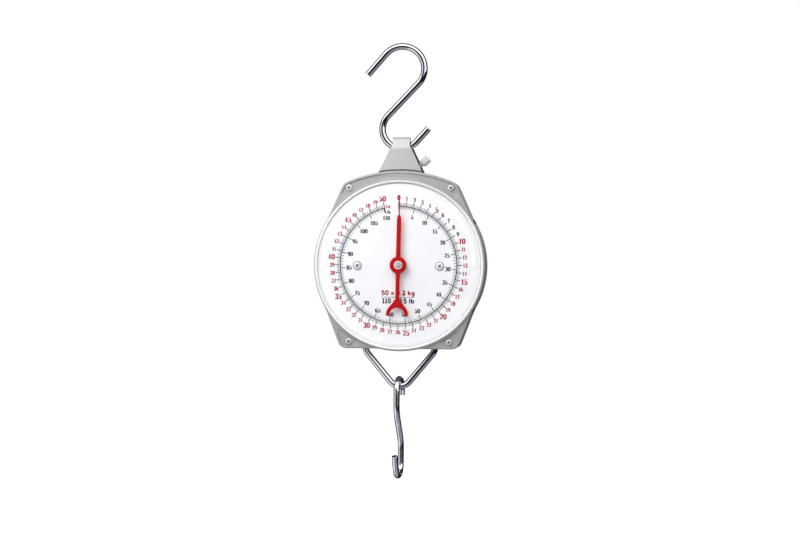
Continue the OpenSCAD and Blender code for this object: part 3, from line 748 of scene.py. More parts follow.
def rear_pressing():
    """Rear pressing: a deep pan with rounded back edges, slots for the yoke and the bail."""
    verts = []
    n = len(OUT_P)
    rows = 0
    ro = 3.2
    for i in range(n):
        p, nn = OUT_P[i], OUT_N[i]
        col = []
        for y in (-6.88, -6.65, -3.0, 2.0, 8.0, 13.0, REAR - ro):
            q = p - nn * (0.22 if y == -6.88 else 0.0)
            col.append((q.x, y, q.y))
        for a in (15, 30, 45, 60, 75, 90):
            q = p - nn * (ro * (1 - cos(radians(a))))
            col.append((q.x, REAR - ro + ro * sin(radians(a)), q.y))
        e = p - nn * ro
        for t in (0.975, 0.94, 0.75, 0.5, 0.25, 0.06):
            col.append((e.x * t, REAR, e.y * t))
        rows = len(col)
        verts.extend((x, y, z + ZD) for x, y, z in col)
    faces = grid_faces(rows, n)
    faces.append(tuple(i * rows + rows - 1 for i in range(n)))
    obj = add("rear_pressing", verts, faces, M["back"], None)
    bm = bmesh.new()
    bm.from_mesh(obj.data)
    if sum(f.normal.y * f.calc_area() for f in bm.faces) < 0:
        bmesh.ops.reverse_faces(bm, faces=bm.faces)
    bm.to_mesh(obj.data)
    bm.free()
    solid_sheet(obj, 0.9)
    cuts = [box_mesh("slot_a", (-24.2, 7.4, -140), (24.2, 11.4, -118)),
            box_mesh("slot_b", (-24.2, -8.0, -140), (24.2, -6.95, -118))]
    cuts += [obround(f"bail_cut_{k}", x, 3.2, 4.7, -320, -305) for k, x in enumerate((-36.7, 36.7))]
    cut(obj, cuts, "MANIFOLD")
    sharpen(obj.data, radians(33))
    return put(obj, "housing", "rear_shell", slot="grey_paint")


front_pressing()
rear_pressing()


# -------------------------------------------------------------------- yoke

def make_yoke():
    """Folded strap: roof over the hook's wire, two walls down into the casing."""
    a = radians(35)
    za = -103.7 + 9 / math.tan(a)
    ro = 1.3
    zc = za - ro / sin(a)
    ti = za - 2.5 / sin(a)

    def half_width(z):
        for (z0, w0), (z1, w1) in zip(
                [(-80, 9.1), (-101.4, 9.15), (-102.6, 9.9), (-104.4, 11.3), (-130, 23.3)],
                [(-101.4, 9.15), (-102.6, 9.9), (-104.4, 11.3), (-130, 23.3), (-170, 23.4)]):
            if z >= z1:
                return w0 + (w1 - w0) * (z - z0) / (z1 - z0)
        return 23.4
    st = []   # (outer y, outer z, inner y, inner z)
    st += [(10.5, -156, 8, -156), (10.5, -143, 8, -143), (10.5, -131.2, 8, -131.2), (10.44, -129.2, 7.93, -129.2)]
    for z in (-124, -118, -112, -107):
        t = (z + 130) / (-103.7 + 130)
        st.append((10.5 - 1.5 * t, z, 8 - 1.58 * t, z + 0.02))
    # rounded crease between wall and roof
    st += [(9.12, -105.4, 6.5, -104.4), (9.02, -104.2, 6.42, -103.4), (8.72, -103.25, 6.2, -102.7), (8.1, -102.3, 5.75, -102.0)]
    for t in (0.3, 0.55, 0.8):
        y = 8.1 + (ro * cos(a) - 8.1) * t
        yi = 5.75 + (1.0 - 5.75) * t
        st.append((y, -102.3 + (zc + ro * sin(a) + 102.3) * t, yi, ti + 0.12 - yi * 1.1986))
    for k in range(7):
        g = a + (pi / 2 - a) * k / 6
        yi = 0.9 * (1 - k / 6)
        st.append((ro * cos(g), zc + ro * sin(g), yi, ti + 0.12 - yi * 1.1986))
    full = [(-y, z, -iy, iz) for y, z, iy, iz in st] + [(y, z, iy, iz) for y, z, iy, iz in reversed(st[:-1])]
    verts, faces = [], []
    for y, z, iy, iz in full:
        w = half_width(z)
        if y > 8.5:
            w += 0.8 * smooth(-103 - z, 0.0, 3.0)
        verts += [(-w, y, z), (w, y, z), (w, iy, iz), (-w, iy, iz)]
    m = len(full)
    for i in range(m - 1):
        for k in range(4):
            j = (k + 1) % 4
            faces.append((i * 4 + k, i * 4 + j, (i + 1) * 4 + j, (i + 1) * 4 + k))
    faces += [(0, 1, 2, 3), tuple((m - 1) * 4 + k for k in (3, 2, 1, 0))]
    obj = add("folded_yoke", verts, faces, M["yoke"], None)
    bevel(obj, 0.42, 3, 42.0, 30.0)
    # painted shade: the strap's inner faces, the underside of its roof and its cut edges take a near-black enamel
    obj.data.materials.append(M["inside"])
    for f in obj.data.polygons:
        c, n = f.center / MM, f.normal
        wall = abs(n.y) > 0.9 and n.y * c.y < 0
        roof = n.z < -0.4 and abs(c.y) < 6.5 and c.z > -105
        if wall or roof or abs(n.x) > 0.7:
            f.material_index = 1
    return put(obj, "hanger", "yoke", slot="grey_paint")


make_yoke()


# -------------------------------------------------------------------- lens

def make_lens():
    """Clear moulded pan: flange, rounded shoulder and slightly domed face."""
    h0, hf, rf = 16.5, 29.5, 76.5
    w = 84.85 - rf
    n = 16
    outer = [(rf + w * cos(radians(90 * i / n)) ** 0.9, h0 + 1.25 + (hf - h0 - 1.25) * sin(radians(90 * i / n))) for i in range(n + 1)]
    face = [(60, hf + 0.2), (40, hf + 0.38), (20, hf + 0.47), (0, hf + 0.5)]
    inner = [(0, hf - 1.3), (20, hf - 1.33), (40, hf - 1.42), (60, hf - 1.6)]
    inner += [(rf - 1 + (w - 0.8) * cos(radians(90 * (n - i) / n)) ** 0.9, h0 + 0.02 + (hf - h0 - 1.82) * sin(radians(90 * (n - i) / n)))
              for i in range(n + 1)]
    profile = [(84.3, h0), (85.25, h0), (85.38, h0 + 0.13), (85.38, h0 + 1.05), (85.2, h0 + 1.2)] + outer + face + inner
    verts, faces = lathe(profile, 192, along_y(0, ZD), False)
    obj = add("domed_lens", verts, faces, M["lens"], 38.0, merge=0.002)
    return put(obj, "housing", "lens", slot="clear")


make_lens()


# ---------------------------------------------------------- dial and print

PLATE = -16.2


def strip(pts, widths, closed=False):
    """Left and right edges of a stroke along pts, one width for each point."""
    n = len(pts)
    left, right = [], []
    for i in range(n):
        a = pts[(i - 1) % n] if closed else pts[max(i - 1, 0)]
        b = pts[(i + 1) % n] if closed else pts[min(i + 1, n - 1)]
        tx, ty = b[0] - a[0], b[1] - a[1]
        l = hypot(tx, ty) or 1.0
        nx, ny = -ty / l, tx / l
        w = widths[i] / 2
        left.append((pts[i][0] + nx * w, pts[i][1] + ny * w))
        right.append((pts[i][0] - nx * w, pts[i][1] - ny * w))
    return left, right


class Print:
    """Collects thin closed patches of ink on the dial."""

    def __init__(self, y0=PLATE, t=0.03):
        self.v, self.f = [], []
        self.y0, self.y1 = y0 + 0.01, y0 - t

    def patch(self, left, right, closed=False):
        k = len(self.v)
        n = len(left)
        for (a, b), (c, d) in zip(left, right):
            for x, z in ((a, b), (c, d)):
                self.v.append((x, self.y1, z + ZD))
                self.v.append((x, self.y0, z + ZD))
        # per point: 0 left front, 1 left back, 2 right front, 3 right back
        for i in range(n if closed else n - 1):
            a, b = k + 4 * i, k + 4 * ((i + 1) % n)
            self.f += [(a, b, b + 2, a + 2), (a + 1, a + 3, b + 3, b + 1), (a, a + 1, b + 1, b), (a + 2, b + 2, b + 3, a + 3)]
        if not closed:
            a, b = k, k + 4 * (n - 1)
            self.f += [(a, a + 2, a + 3, a + 1), (b, b + 1, b + 3, b + 2)]

    def bar(self, p, q, w):
        self.patch(*strip([p, q], [w, w]))

    def disc(self, c, r, n=12):
        pts = [(c[0] + r * cos(2 * pi * i / n), c[1] + r * sin(2 * pi * i / n)) for i in range(n)]
        k = len(self.v)
        for x, z in pts:
            self.v.append((x, self.y1, z + ZD))
        for x, z in pts:
            self.v.append((x, self.y0, z + ZD))
        self.f.append(tuple(k + i for i in range(n)))
        self.f.append(tuple(k + n + i for i in reversed(range(n))))
        self.f += [(k + i, k + n + i, k + n + (i + 1) % n, k + (i + 1) % n) for i in range(n)]

    def make(self, name, mat, slot):
        obj = add(name, self.v, self.f, mat, None)
        return put(obj, "housing", slot=slot)


def ell(cx, cy, rx, ry, a0, a1, n=14):
    return [(cx + rx * cos(radians(a0 + (a1 - a0) * i / n)), cy + ry * sin(radians(a0 + (a1 - a0) * i / n))) for i in range(n + 1)]


# Each figure: strokes of (points, kind, closed), unit height. kind "s" swells where it runs upright; a number is a plain width.
def figures():
    g = {}
    ring = lambda cx, cy, rx, ry: (ell(cx, cy, rx, ry, 0, 360, 24)[:-1], "s", True)
    g["0"] = (0.62, [ring(0.31, 0.5, 0.23, 0.46)], [])
    g["1"] = (0.46, [([(0.24, 0.0), (0.24, 1.0)], 0.17, False), ([(0.24, 0.95), (0.14, 0.86), (0.05, 0.80)], 0.07, False),
                     ([(0.04, 0.035), (0.44, 0.035)], 0.07, False)], [])
    g["2"] = (0.60, [(ell(0.29, 0.72, 0.2, 0.245, 165, 0, 12) + [(0.48, 0.6), (0.36, 0.38), (0.2, 0.2), (0.09, 0.07)], "s", False),
                     ([(0.05, 0.06), (0.54, 0.06)], 0.12, False), ([(0.53, 0.05), (0.53, 0.22)], 0.06, False)], [(0.13, 0.73, 0.075)])
    g["3"] = (0.60, [(ell(0.27, 0.75, 0.19, 0.22, 150, -90, 14), "s", False), (ell(0.27, 0.27, 0.23, 0.25, 90, -155, 14), "s", False)],
              [(0.13, 0.80, 0.07), (0.11, 0.2, 0.075)])
    g["4"] = (0.62, [([(0.40, 0.0), (0.40, 1.0)], 0.16, False), ([(0.38, 0.97), (0.05, 0.30)], 0.07, False),
                     ([(0.03, 0.29), (0.59, 0.29)], 0.08, False), ([(0.25, 0.035), (0.56, 0.035)], 0.07, False)], [])
    g["5"] = (0.60, [([(0.11, 0.93), (0.50, 0.93)], 0.13, False), ([(0.12, 0.96), (0.105, 0.52)], 0.07, False),
                     (ell(0.27, 0.31, 0.23, 0.28, 140, -155, 16), "s", False)], [(0.11, 0.2, 0.075)])
    six = [(ell(0.40, 0.5, 0.33, 0.46, 82, 180, 10) + [(0.075, 0.36)], "s", False), ring(0.31, 0.29, 0.215, 0.255)]
    g["6"] = (0.62, six, [(0.48, 0.86, 0.065)])
    g["7"] = (0.58, [([(0.05, 0.92), (0.54, 0.92)], 0.15, False), ([(0.06, 0.95), (0.06, 0.74)], 0.06, False),
                     ([(0.51, 0.88), (0.36, 0.56), (0.27, 0.28), (0.25, 0.0)], "s", False)], [])
    g["8"] = (0.62, [ring(0.31, 0.755, 0.17, 0.205), ring(0.31, 0.27, 0.22, 0.245)], [])
    g["9"] = (0.62, [([(0.62 - x, 1 - y) for x, y in p], k, c) for p, k, c in six], [(0.14, 0.14, 0.065)])
    g["k"] = (0.62, [([(0.12, 0.0), (0.12, 1.0)], 0.15, False), ([(0.5, 0.62), (0.14, 0.3)], 0.08, False),
                     ([(0.26, 0.42), (0.54, 0.0)], 0.15, False)], [])
    g["g"] = (0.60, [ring(0.27, 0.36, 0.19, 0.26), ([(0.5, 0.66), (0.5, 0.0)], 0.15, False),
                     (ell(0.30, -0.02, 0.2, 0.2, 0, -150, 8), 0.1, False)], [])
    g["l"] = (0.30, [([(0.14, 0.0), (0.14, 1.0)], 0.15, False)], [])
    g["b"] = (0.60, [([(0.11, 0.0), (0.11, 1.0)], 0.15, False), ring(0.33, 0.34, 0.2, 0.3)], [])
    g["x"] = (0.62, [([(0.08, 0.12), (0.52, 0.62)], 0.09, False), ([(0.08, 0.62), (0.52, 0.12)], 0.09, False)], [])
    g["."] = (0.26, [], [(0.12, 0.08, 0.085)])
    g[" "] = (0.30, [], [])
    return g


FIG = figures()


def write(pr, text, cx, cz, h, thick=0.18, thin=0.075, gap=0.07, plain=None, stretch=1.0):
    """Writes text upright, centred on (cx, cz) from the dial centre."""
    width = (sum(FIG[c][0] for c in text) + gap * (len(text) - 1)) * stretch
    x = cx - width * h / 2
    z = cz - h / 2
    for c in text:
        adv, strokes, dots = FIG[c]
        for pts, kind, closed in strokes:
            n = len(pts)
            w = []
            for i in range(n):
                if plain is not None:
                    w.append(plain * h)
                elif kind == "s":
                    a = pts[(i - 1) % n] if closed else pts[max(i - 1, 0)]
                    b = pts[(i + 1) % n] if closed else pts[min(i + 1, n - 1)]
                    tx, ty = b[0] - a[0], b[1] - a[1]
                    u = abs(ty) / (hypot(tx, ty) or 1)
                    w.append((thin + (thick - thin) * u ** 1.4) * h)
                else:
                    w.append(kind * h * (thick / 0.18 if kind > 0.13 else 1.0))
            pos = [(x + px * h * stretch, z + py * h) for px, py in pts]
            pr.patch(*strip(pos, w, closed), closed)
        for dx, dy, r in dots:
            if plain is None or c == ".":
                pr.disc((x + dx * h * stretch, z + dy * h), r * h)
        x += (adv + gap) * h * stretch


def make_print():
    red, black, grey = Print(), Print(), Print()
    step = 6.92                      # degrees a kilogram
    end = 346.0
    rc = 60.8

    def at(r, deg):
        a = radians(deg)
        return (r * sin(a), r * cos(a))

    # the ring between the two scales
    seg = 346
    ring = [at(rc, end * i / seg) for i in range(seg + 1)]
    black.patch(*strip(ring, [0.85] * len(ring)))
    # outer scale: 0.2 kg
    for i in range(251):
        deg = i * step / 5
        if i % 5 == 0:
            black.bar(at(rc, deg), at(66.3, deg), 0.9)
        else:
            grey.bar(at(rc + 0.2, deg), at(64.2, deg), 0.53)
    # inner scale: 0.5 lb, where 110.23 lb are 50 kg
    lb = step * 0.45359237
    for i in range(221):
        deg = i * lb / 2
        if i % 10 == 0:
            black.bar(at(rc, deg), at(55.7, deg), 0.9)
        elif i % 2 == 0:
            grey.bar(at(rc - 0.2, deg), at(57.4, deg), 0.52)
        else:
            grey.bar(at(rc - 0.2, deg), at(58.3, deg), 0.42)
    # the two ends of the scales
    black.bar(at(55.0, end), at(67.0, end), 0.75)
    for kg in range(1, 51):
        deg = kg * step
        if kg % 5 == 0:
            x, z = at(70.6 if kg != 5 else 69.6, deg)
            write(red, str(kg), x, z, 5.4, 0.28, 0.165)
        else:
            x, z = at(69.4, deg)
            pr = black if kg < 10 else red
            write(pr, str(kg), x, z, 4.1, 0.26, 0.165, stretch=0.94)
    for p in range(5, 111, 5):
        deg = p * lb
        n = len(str(p))
        x, z = at(51.6 if n < 3 else 50.4, deg)
        write(black, str(p), x, z, 4.2, 0.28, 0.175)
    # zero, units, and the plain legend
    write(red, "0", 0.0, 69.9, 4.8, 0.34, 0.2, stretch=0.9)
    write(red, "kg", -11.2, 61.0, 3.5, 0.26, 0.17)
    write(black, "lb", -10.4, 55.0, 3.5, 0.26, 0.17)
    write(red, "50 x 0.2 kg", 0.0, -28.7, 4.7, plain=0.27, stretch=1.2)
    write(black, "110 x 0.5 lb", 0.0, -37.0, 4.7, plain=0.26, stretch=1.13)
    grey.bar((-17.4, -33.3), (17.4, -33.3), 0.5)
    # painted shadow: a black ring printed round each dial screw stands in for the shadow of the gap round its head
    for x in (-42.9, 42.9):
        ring = [(x + 4.35 * cos(2 * pi * i / 40), -0.8 + 4.35 * sin(2 * pi * i / 40)) for i in range(40)]
        black.patch(*strip(ring, [0.55] * 40, True), True)
    red.make("dial_print_red", M["red_ink"], "dial_white")
    black.make("dial_print_black", M["black_ink"], "dial_white")
    grey.make("dial_print_grey", M["grey_ink"], "dial_white")


make_print()


# ------------------------------------------------------------------ screws

def cross_screw(name, rh, hh, depth=0.75, n=48):
    """Pan head with a cross recess, at the origin along +Z: vertices, faces, and which faces take a darker metal as
    painted shade (the recess and the head's lower rim).
    """
    prof = [(0, -1.2), (rh * 0.5, -1.2), (rh * 0.5, -0.0), (rh * 0.94, 0.0), (rh, 0.06 * hh), (rh, 0.30 * hh), (rh * 0.97, 0.5 * hh),
            (rh * 0.88, 0.72 * hh), (rh * 0.72, 0.88 * hh), (rh * 0.5, 0.97 * hh), (rh * 0.25, hh), (0, hh)]
    v, f = lathe(prof, n, Matrix.Identity(4), False)
    head = add(name + "_blank", v, f, None, None)
    tools = []
    for k in (0, 1):
        a, b = (rh * 0.66, rh * 0.17) if k == 0 else (rh * 0.17, rh * 0.66)
        s = 0.55
        a2, b2 = (a * s, b * 0.8) if k == 0 else (a * 0.8, b * s)
        z0, z1 = hh * (1 - depth), hh + 0.4
        cv = [(-a2, -b2, z0), (a2, -b2, z0), (a2, b2, z0), (-a2, b2, z0), (-a, -b, z1), (a, -b, z1), (a, b, z1), (-a, b, z1)]
        cf = [(3, 2, 1, 0), (4, 5, 6, 7), (0, 1, 5, 4), (1, 2, 6, 5), (2, 3, 7, 6), (3, 0, 4, 7)]
        tools.append(add(f"{name}_tool_{k}", cv, cf, None, None))
    cut(head, tools)
    verts = [tuple(p.co / MM) for p in head.data.vertices]
    faces, shade = [], []
    for p in head.data.polygons:
        faces.append(tuple(p.vertices))
        c = p.center / MM
        r = hypot(c.x, c.y)
        recess = r < rh * 0.68 and 0 < c.z < hh - 0.03 and (p.normal.z < 0.6 or c.z < hh * 0.6)
        shade.append(1 if recess or (c.z < 0.2 * hh and r > rh * 0.8) else 0)
    bpy.data.objects.remove(head)
    return verts, faces, shade


def screws(name, data, mats, mat, body, *cad):
    v, f, shade = data
    verts, faces = joined([([m @ Vector(p) for p in v], f) for m in mats])
    obj = add(name, verts, faces, mat, 32.0)
    # second material: a darker metal on the recess and the head's lower rim, painted shade
    obj.data.materials.append(M["dark"] if name.startswith("side") else M["recess"])
    for i, poly in enumerate(obj.data.polygons):
        poly.material_index = shade[i % len(shade)]
    return put(obj, body, *cad, slot="steel")


def make_screws():
    ears = [(-53.4, 80.7), (53.4, 80.7), (-52.5, -79.9), (52.5, -79.9)]
    turns = (20, 65, 40, 10, 75, 30, 50, 5)
    mats = []
    for k, (x, z) in enumerate(ears):
        mats.append(along_y(x, z + ZD, FACE + 0.92) @ Matrix.Rotation(radians(turns[k]), 4, "Z"))
        mats.append(along_y(x, z + ZD, REAR, False) @ Matrix.Rotation(radians(turns[k + 4]), 4, "Z"))
    screws("ear_screws", cross_screw("small", 3.3, 2.0), mats, M["screw"], "housing", "corner_screws")
    mats = [along_y(x, z, REAR, False) @ Matrix.Rotation(radians(13 + 17 * x + 5 * z), 4, "Z") for x in (-14, 14) for z in (-196, -240)]
    screws("back_plate_screws", cross_screw("back", 3.3, 2.0), mats, M["screw"], "housing", "back_screws")
    mats = [along_y(x, ZD - 0.8, -16.2) @ Matrix.Rotation(radians(a), 4, "Z") for x, a in ((-42.9, 25), (42.9, 62))]
    screws("dial_fixing_screws", cross_screw("dial", 4.0, 2.1, 0.6), mats, M["bright"], "housing", "dial_screws")
    mats = []
    for k, a in enumerate((30.5, -30.5)):
        d = Vector((cos(radians(a)), 0, sin(radians(a))))
        m = Vector((0, 0, 1)).rotation_difference(d).to_matrix().to_4x4()
        mats.append(Matrix.Translation(Vector((0, -10, ZD)) + d * (BODY_R - 0.28)) @ m @ Matrix.Rotation(radians(15 + 20 * k), 4, "Z"))
    screws("side_wall_screws", cross_screw("side", 2.7, 1.9), mats, M["dark"], "housing", "side_screws")


make_screws()


# --------------------------------------------------------- zero knob, boss

def make_knob():
    axis = Vector((-1, 0, -1)).normalized()
    turn = Vector((0, 0, 1)).rotation_difference(axis).to_matrix().to_4x4()
    place = Matrix.Translation((24.9, 0, -116.7)) @ turn
    teeth = 44

    def knurl(r, h, a):
        if r < 4.15:
            return r
        k = smooth(4.3 - abs(h), 0.3, 1.0)
        t = (a * teeth / (2 * pi)) % 1.0
        tri = 1 - abs(2 * t - 1)
        return r - 0.24 * k * (1 - tri)
    rows = [(0, -4.3), (2.6, -4.3), (3.5, -4.28), (3.95, -4.2), (4.3, -3.95), (4.5, -3.65), (4.6, -3.3)]
    rows += [(4.6, -2.8 + 0.56 * i) for i in range(11)]
    rows += [(4.6, 3.3), (4.5, 3.65), (4.3, 3.95), (3.95, 4.25), (2.75, 4.3), (2.6, 4.4), (2.6, 5.8), (2.35, 6.0), (2.0, 6.05),
             (2.0, 20.1), (1.7, 20.5), (0, 20.5)]
    v, f = lathe(rows, 216, place, False, knurl)
    obj = add("knurled_zero_screw", v, f, M["knob"], 30.0)
    put(obj, "zero_screw", "zero_screw", slot="steel")
    # collar: hexagon with chamfered corners on a round neck
    s0, s1 = 8.2, 11.6
    hexr = 6.0

    def six(r, h, a):
        if r < 4.2:
            return r
        flat = hexr * cos(radians(30)) / cos(((a + pi / 6) % (pi / 3)) - pi / 6)
        return min(r, flat)
    prof = [(2.06, s0), (5.1, s0), (5.6, s0 + 0.3), (6.0, s0 + 0.8), (6.0, s1 - 0.5), (5.7, s1), (4.0, s1), (4.0, 17.6), (3.8, 17.8), (2.06, 17.8)]
    v, f = lathe(prof + prof[:1], 72, place, False, six)
    obj = add("zero_screw_collar", v, f, M["dark"], 28.0, merge=0.001)
    put(obj, "housing", "zero_boss", slot="steel")


make_knob()


# ----------------------------------------------------------------- pointer

def make_pointer():
    """Red hand: slim tip, stem, hub ring and forked tail, cut from sheet with softened edges."""
    y0, y1 = -21.2, -22.4
    L = 67.8

    def outline_plate(name, loops):
        """loops: outer outline first, then holes, all in X and Z about the hub."""
        me = bpy.data.curves.new(name, "CURVE")
        me.dimensions = "2D"
        me.fill_mode = "BOTH"
        me.extrude = abs(y1 - y0) / 2 * MM - 0.00018
        me.bevel_depth = 0.00018
        me.bevel_resolution = 2
        for loop in loops:
            s = me.splines.new("POLY")
            s.points.add(len(loop) - 1)
            for p, (x, z) in zip(s.points, loop):
                p.co = (x * MM, z * MM, 0, 1)
            s.use_cyclic_u = True
        me.offset = -0.00018
        tmp = bpy.data.objects.new(name + "_curve", me)
        scene.collection.objects.link(tmp)
        bpy.context.view_layer.update()
        dg = bpy.context.evaluated_depsgraph_get()
        out = bpy.data.meshes.new_from_object(tmp.evaluated_get(dg))
        bpy.data.objects.remove(tmp)
        return out
    # right half from the tip down, then mirrored
    half = [(0.0, L + 0.25), (0.36, L), (0.5, L - 0.5), (0.58, 53.5), (0.7, 52.2), (1.6, 50.6), (2.1, 49.2), (2.25, 47.5), (2.4, 10.0)]
    half += [(8.75 * sin(radians(a)), 8.75 * cos(radians(a))) for a in range(18, 163, 6)]
    half += [(2.15, -9.9), (2.05, -34.6), (2.3, -35.9), (3.8, -37.9), (6.6, -41.3), (9.0, -44.2), (10.4, -46.4), (11.1, -48.6),
             (11.4, -50.6), (11.45, -52.3), (11.1, -52.7), (8.3, -52.7), (7.9, -52.4)]
    half += [(7.8 * sin(radians(a)), -52.0 + 7.8 * cos(radians(a))) for a in (86, 76, 66, 56, 46, 36, 26, 16, 6)]
    half += [(0.0, -44.2)]
    # tip (x = 0) first and fork's middle last; mirror without the shared points
    loop = half + [(-x, z) for x, z in reversed(half[1:-1])]
    hole = [(1.5 * cos(radians(a)), 1.5 * sin(radians(a))) for a in range(360, 0, -15)]
    me = outline_plate("hand", [loop, hole])
    place = Matrix.Translation((0, (y0 + y1) / 2 * MM, ZD * MM)) @ Matrix.Rotation(radians(0.9), 4, "Y") @ Matrix.Rotation(radians(90), 4, "X")
    me.transform(place)
    bm = bmesh.new()
    bm.from_mesh(me)
    bmesh.ops.remove_doubles(bm, verts=bm.verts, dist=1e-6)
    bmesh.ops.recalc_face_normals(bm, faces=bm.faces)
    # boss behind the hand
    v, f = lathe([(1.5, 19.1), (3.25, 19.1), (3.4, 19.25), (3.4, 21.25), (1.5, 21.25), (1.5, 19.1)], 48, along_y(0, ZD), False)
    tmp = bpy.data.meshes.new("boss")
    tmp.from_pydata([tuple(p * MM) for p in v], [], f)
    bm.from_mesh(tmp)
    bmesh.ops.remove_doubles(bm, verts=bm.verts, dist=1e-6)
    bmesh.ops.recalc_face_normals(bm, faces=bm.faces)
    bm.to_mesh(me)
    bm.free()
    bpy.data.meshes.remove(tmp)
    me.materials.clear()
    me.materials.append(M["red"])
    sharpen(me, radians(32))
    obj = bpy.data.objects.new("red_hand", me)
    scene.collection.objects.link(obj)
    put(obj, "pointer_set", "pointer", slot="red_paint")
    cap = [(0, 24.9), (0.8, 24.88), (1.5, 24.78), (2.1, 24.6), (2.55, 24.3), (2.8, 23.9), (2.9, 23.5), (2.95, 23.0), (3.15, 22.86), (3.4, 22.95),
           (3.75, 23.05), (4.1, 23.0), (4.32, 22.85), (4.4, 22.6), (4.4, 22.42), (0, 22.42)]
    v, f = lathe(cap, 64, along_y(0, ZD), False)
    obj = add("domed_cap", v, f, M["cap"], 34.0)
    obj.data.materials.append(M["rim"])
    for poly in obj.data.polygons:
        c = poly.center / MM
        if hypot(c.x, c.z - ZD) > 3.2 and c.y > -23.2:
            poly.material_index = 1
    put(obj, "pointer_set", "pointer_cap", slot="chrome_wire")


make_pointer()


# --------------------------------------- materials for the carried-over CAD

CAD_MATERIAL = {
    "yoke_rivets": "steel", "spring_anchor": "steel", "guide_rods": "chrome", "rod_stops": "brass", "corner_posts": "steel",
    "lens_seal": "seal", "dial_plate": "dial", "dial_posts": "brass", "front_plate": "steel", "rear_plate": "steel",
    "upper_guide": "brass", "lower_guide": "brass", "plate_screws": "screw", "arbor_bushes": "brass", "rear_posts": "steel",
    "left_spring": "spring", "right_spring": "spring", "arbor": "steel", "pinion": "brass", "arbor_clip": "dark",
    "carriage": "steel", "carriage_bushes": "brass", "rack": "brass", "rack_pin": "steel",
}
for node, key in CAD_MATERIAL.items():
    slots = nodes[node].material_slots
    if not slots:
        nodes[node].data.materials.append(M[key])
    for s in slots:
        s.material = M[key]


# ------------------------------------------------------- floor, light, world

def make_stage():
    r = 7.0
    n = 96
    verts = [(0, 0, -620.0)] + [(r * 1000 * cos(2 * pi * i / n), r * 1000 * sin(2 * pi * i / n), -620.0) for i in range(n)]
    faces = [(0, 1 + i, 1 + (i + 1) % n) for i in range(n)]
    g = Graph("pale_floor")
    c = g.noise(3.0, 3.0)
    mat = g.set(color=g.mix(g.remap(c, 0.3, 0.7, 0.0, 1.0), (0.90, 0.90, 0.90), (0.88, 0.88, 0.885)), rough=0.75)
    g.bsdf.inputs["Emission Color"].default_value = (1, 1, 1, 1)
    g.bsdf.inputs["Emission Strength"].default_value = 0.62
    floor = add("studio_floor", verts, faces, mat, None)
    if floor.data.polygons[0].normal.z < 0:
        floor.data.flip_normals()
    floor.visible_glossy = False
    floor.visible_diffuse = False


def area(name, loc, target, size, power, color=(1, 1, 1)):
    light = bpy.data.lights.new(name, "AREA")
    light.shape = "RECTANGLE"
    light.size, light.size_y = size
    light.energy = power
    light.color = color
    obj = bpy.data.objects.new(name, light)
    scene.collection.objects.link(obj)
    obj.location = loc
    obj.rotation_euler = (Vector(target) - Vector(loc)).to_track_quat("-Z", "Y").to_euler()
    obj.visible_glossy = False
    obj.visible_camera = False
    return obj


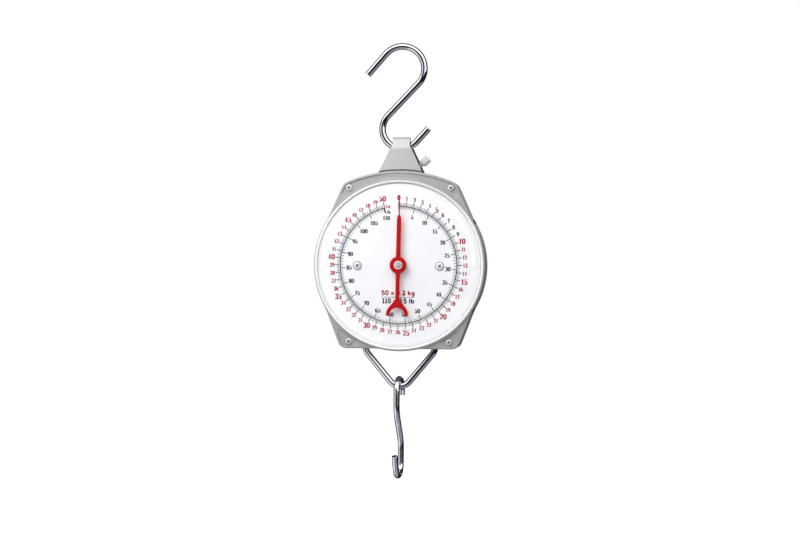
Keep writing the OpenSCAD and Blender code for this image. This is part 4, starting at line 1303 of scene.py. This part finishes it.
def make_world():
    w = bpy.data.worlds.new("studio")
    scene.world = w
    w.use_nodes = True
    nt = w.node_tree
    nt.nodes.clear()
    out = nt.nodes.new("ShaderNodeOutputWorld")
    coord = nt.nodes.new("ShaderNodeTexCoord")
    norm = nt.nodes.new("ShaderNodeVectorMath")
    norm.operation = "NORMALIZE"
    nt.links.new(coord.outputs["Generated"], norm.inputs[0])
    vec = norm.outputs[0]

    def mth(op, a, b=None):
        m = nt.nodes.new("ShaderNodeMath")
        m.operation = op
        for i, v in enumerate((a, b)):
            if v is None:
                continue
            if isinstance(v, (int, float)):
                m.inputs[i].default_value = v
            else:
                nt.links.new(v, m.inputs[i])
        return m.outputs[0]

    def dot(d):
        v = nt.nodes.new("ShaderNodeVectorMath")
        v.operation = "DOT_PRODUCT"
        d = Vector(d).normalized()
        nt.links.new(vec, v.inputs[0])
        v.inputs[1].default_value = d
        return v.outputs["Value"]

    def step(x, a, b):
        r = nt.nodes.new("ShaderNodeMapRange")
        r.interpolation_type = "SMOOTHSTEP"
        r.inputs["From Min"].default_value = a
        r.inputs["From Max"].default_value = b
        nt.links.new(x, r.inputs["Value"])
        return r.outputs[0]

    def lobe(d, inner, outer):
        """1 within inner degrees of d, 0 beyond outer."""
        return step(dot(d), cos(radians(outer)), cos(radians(inner)))

    def slab(x, lo, hi, soft):
        return mth("MULTIPLY", step(x, lo - soft, lo + soft), mth("SUBTRACT", 1.0, step(x, hi - soft, hi + soft)))

    x, y, z = dot((1, 0, 0)), dot((0, 1, 0)), dot((0, 0, 1))
    front = mth("MULTIPLY", y, -1.0)

    def both(a, b):
        return mth("MULTIPLY", a, b)

    def below(v, a, b):
        return mth("SUBTRACT", 1.0, step(v, a, b))
    # what polished metal mirrors: soft boxes in front and overhead, dark gaps, the pale floor,
    # and nothing behind, which is what draws the thin dark outlines
    above = both(both(step(z, 0.30, 0.38), step(front, 0.18, 0.26)), 1.6)
    right = both(both(both(step(x, 0.16, 0.24), step(front, 0.22, 0.34)), step(z, -0.06, 0.02)), 1.25)
    left = both(both(both(below(x, -0.66, -0.58), step(front, -0.04, 0.06)), step(z, -0.5, -0.4)), 0.78)
    low_left = both(both(both(below(x, -0.36, -0.26), step(front, -0.25, -0.1)), below(z, -0.3, -0.2)), 0.85)
    low_right = both(both(both(step(x, 0.25, 0.35), below(z, -0.55, -0.45)), both(step(front, -0.35, -0.2), below(front, 0.55, 0.65))), 0.34)
    floor = both(both(below(z, -0.86, -0.78), both(below(front, 0.5, 0.6), step(front, -0.68, -0.6))), 0.36)
    mid = both(both(both(slab(x, -0.6, 0.6, 0.05), step(front, 0.45, 0.6)), slab(z, -0.8, -0.42, 0.04)), 0.30)
    rear = both(both(step(y, 0.84, 0.9), step(z, 0.05, 0.15)), 0.6)
    total = above
    for t in (right, left, low_left, low_right, floor, mid, rear):
        total = mth("MAXIMUM", total, t)
    total = mth("MAXIMUM", total, 0.014)
    mirror = nt.nodes.new("ShaderNodeMix")
    mirror.data_type = "RGBA"
    nt.links.new(step(total, 0.2, 1.2), mirror.inputs[0])
    mirror.inputs[6].default_value = (0.80, 0.84, 1.0, 1)
    mirror.inputs[7].default_value = (1, 1, 1, 1)
    bg_mirror = nt.nodes.new("ShaderNodeBackground")
    nt.links.new(mirror.outputs[2], bg_mirror.inputs[0])
    nt.links.new(total, bg_mirror.inputs[1])
    # soft fill, stronger from above and from the left
    fill = mth("MAXIMUM", mth("ADD", mth("ADD", 0.36, mth("MULTIPLY", front, 0.54)), mth("ADD", mth("MULTIPLY", z, 0.18), mth("MULTIPLY", x, -0.12))), mth("ADD", 0.05, both(step(y, 0.35, 0.9), 0.45)))
    bg_fill = nt.nodes.new("ShaderNodeBackground")
    bg_fill.inputs[0].default_value = (1, 1, 1, 1)
    nt.links.new(fill, bg_fill.inputs[1])
    # the plain backdrop
    bg_cam = nt.nodes.new("ShaderNodeBackground")
    bg_cam.inputs[0].default_value = (1, 1, 1, 1)
    bg_cam.inputs[1].default_value = 1.0
    path = nt.nodes.new("ShaderNodeLightPath")
    a = nt.nodes.new("ShaderNodeMixShader")
    nt.links.new(path.outputs["Is Diffuse Ray"], a.inputs[0])
    nt.links.new(bg_cam.outputs[0], a.inputs[1])
    nt.links.new(bg_fill.outputs[0], a.inputs[2])
    b = nt.nodes.new("ShaderNodeMixShader")
    nt.links.new(path.outputs["Is Glossy Ray"], b.inputs[0])
    nt.links.new(a.outputs[0], b.inputs[1])
    nt.links.new(bg_mirror.outputs[0], b.inputs[2])
    nt.links.new(b.outputs[0], out.inputs[0])


make_stage()
make_world()
C = (0, 0, -0.2)
area("key_box", (-0.27, -0.42, 0.21), C, (0.42, 0.42), 3.7)
area("back_box", (0.6, 1.5, 0.6), C, (1.0, 1.0), 14.0)
scene.view_settings.view_transform = "Standard"
scene.view_settings.look = "None"
scene.cycles.use_denoising = True
scene.cycles.transmission_bounces = 8
scene.cycles.transparent_max_bounces = 16
scene.cycles.caustics_reflective = False
scene.cycles.caustics_refractive = False

bpy.context.view_layer.update()
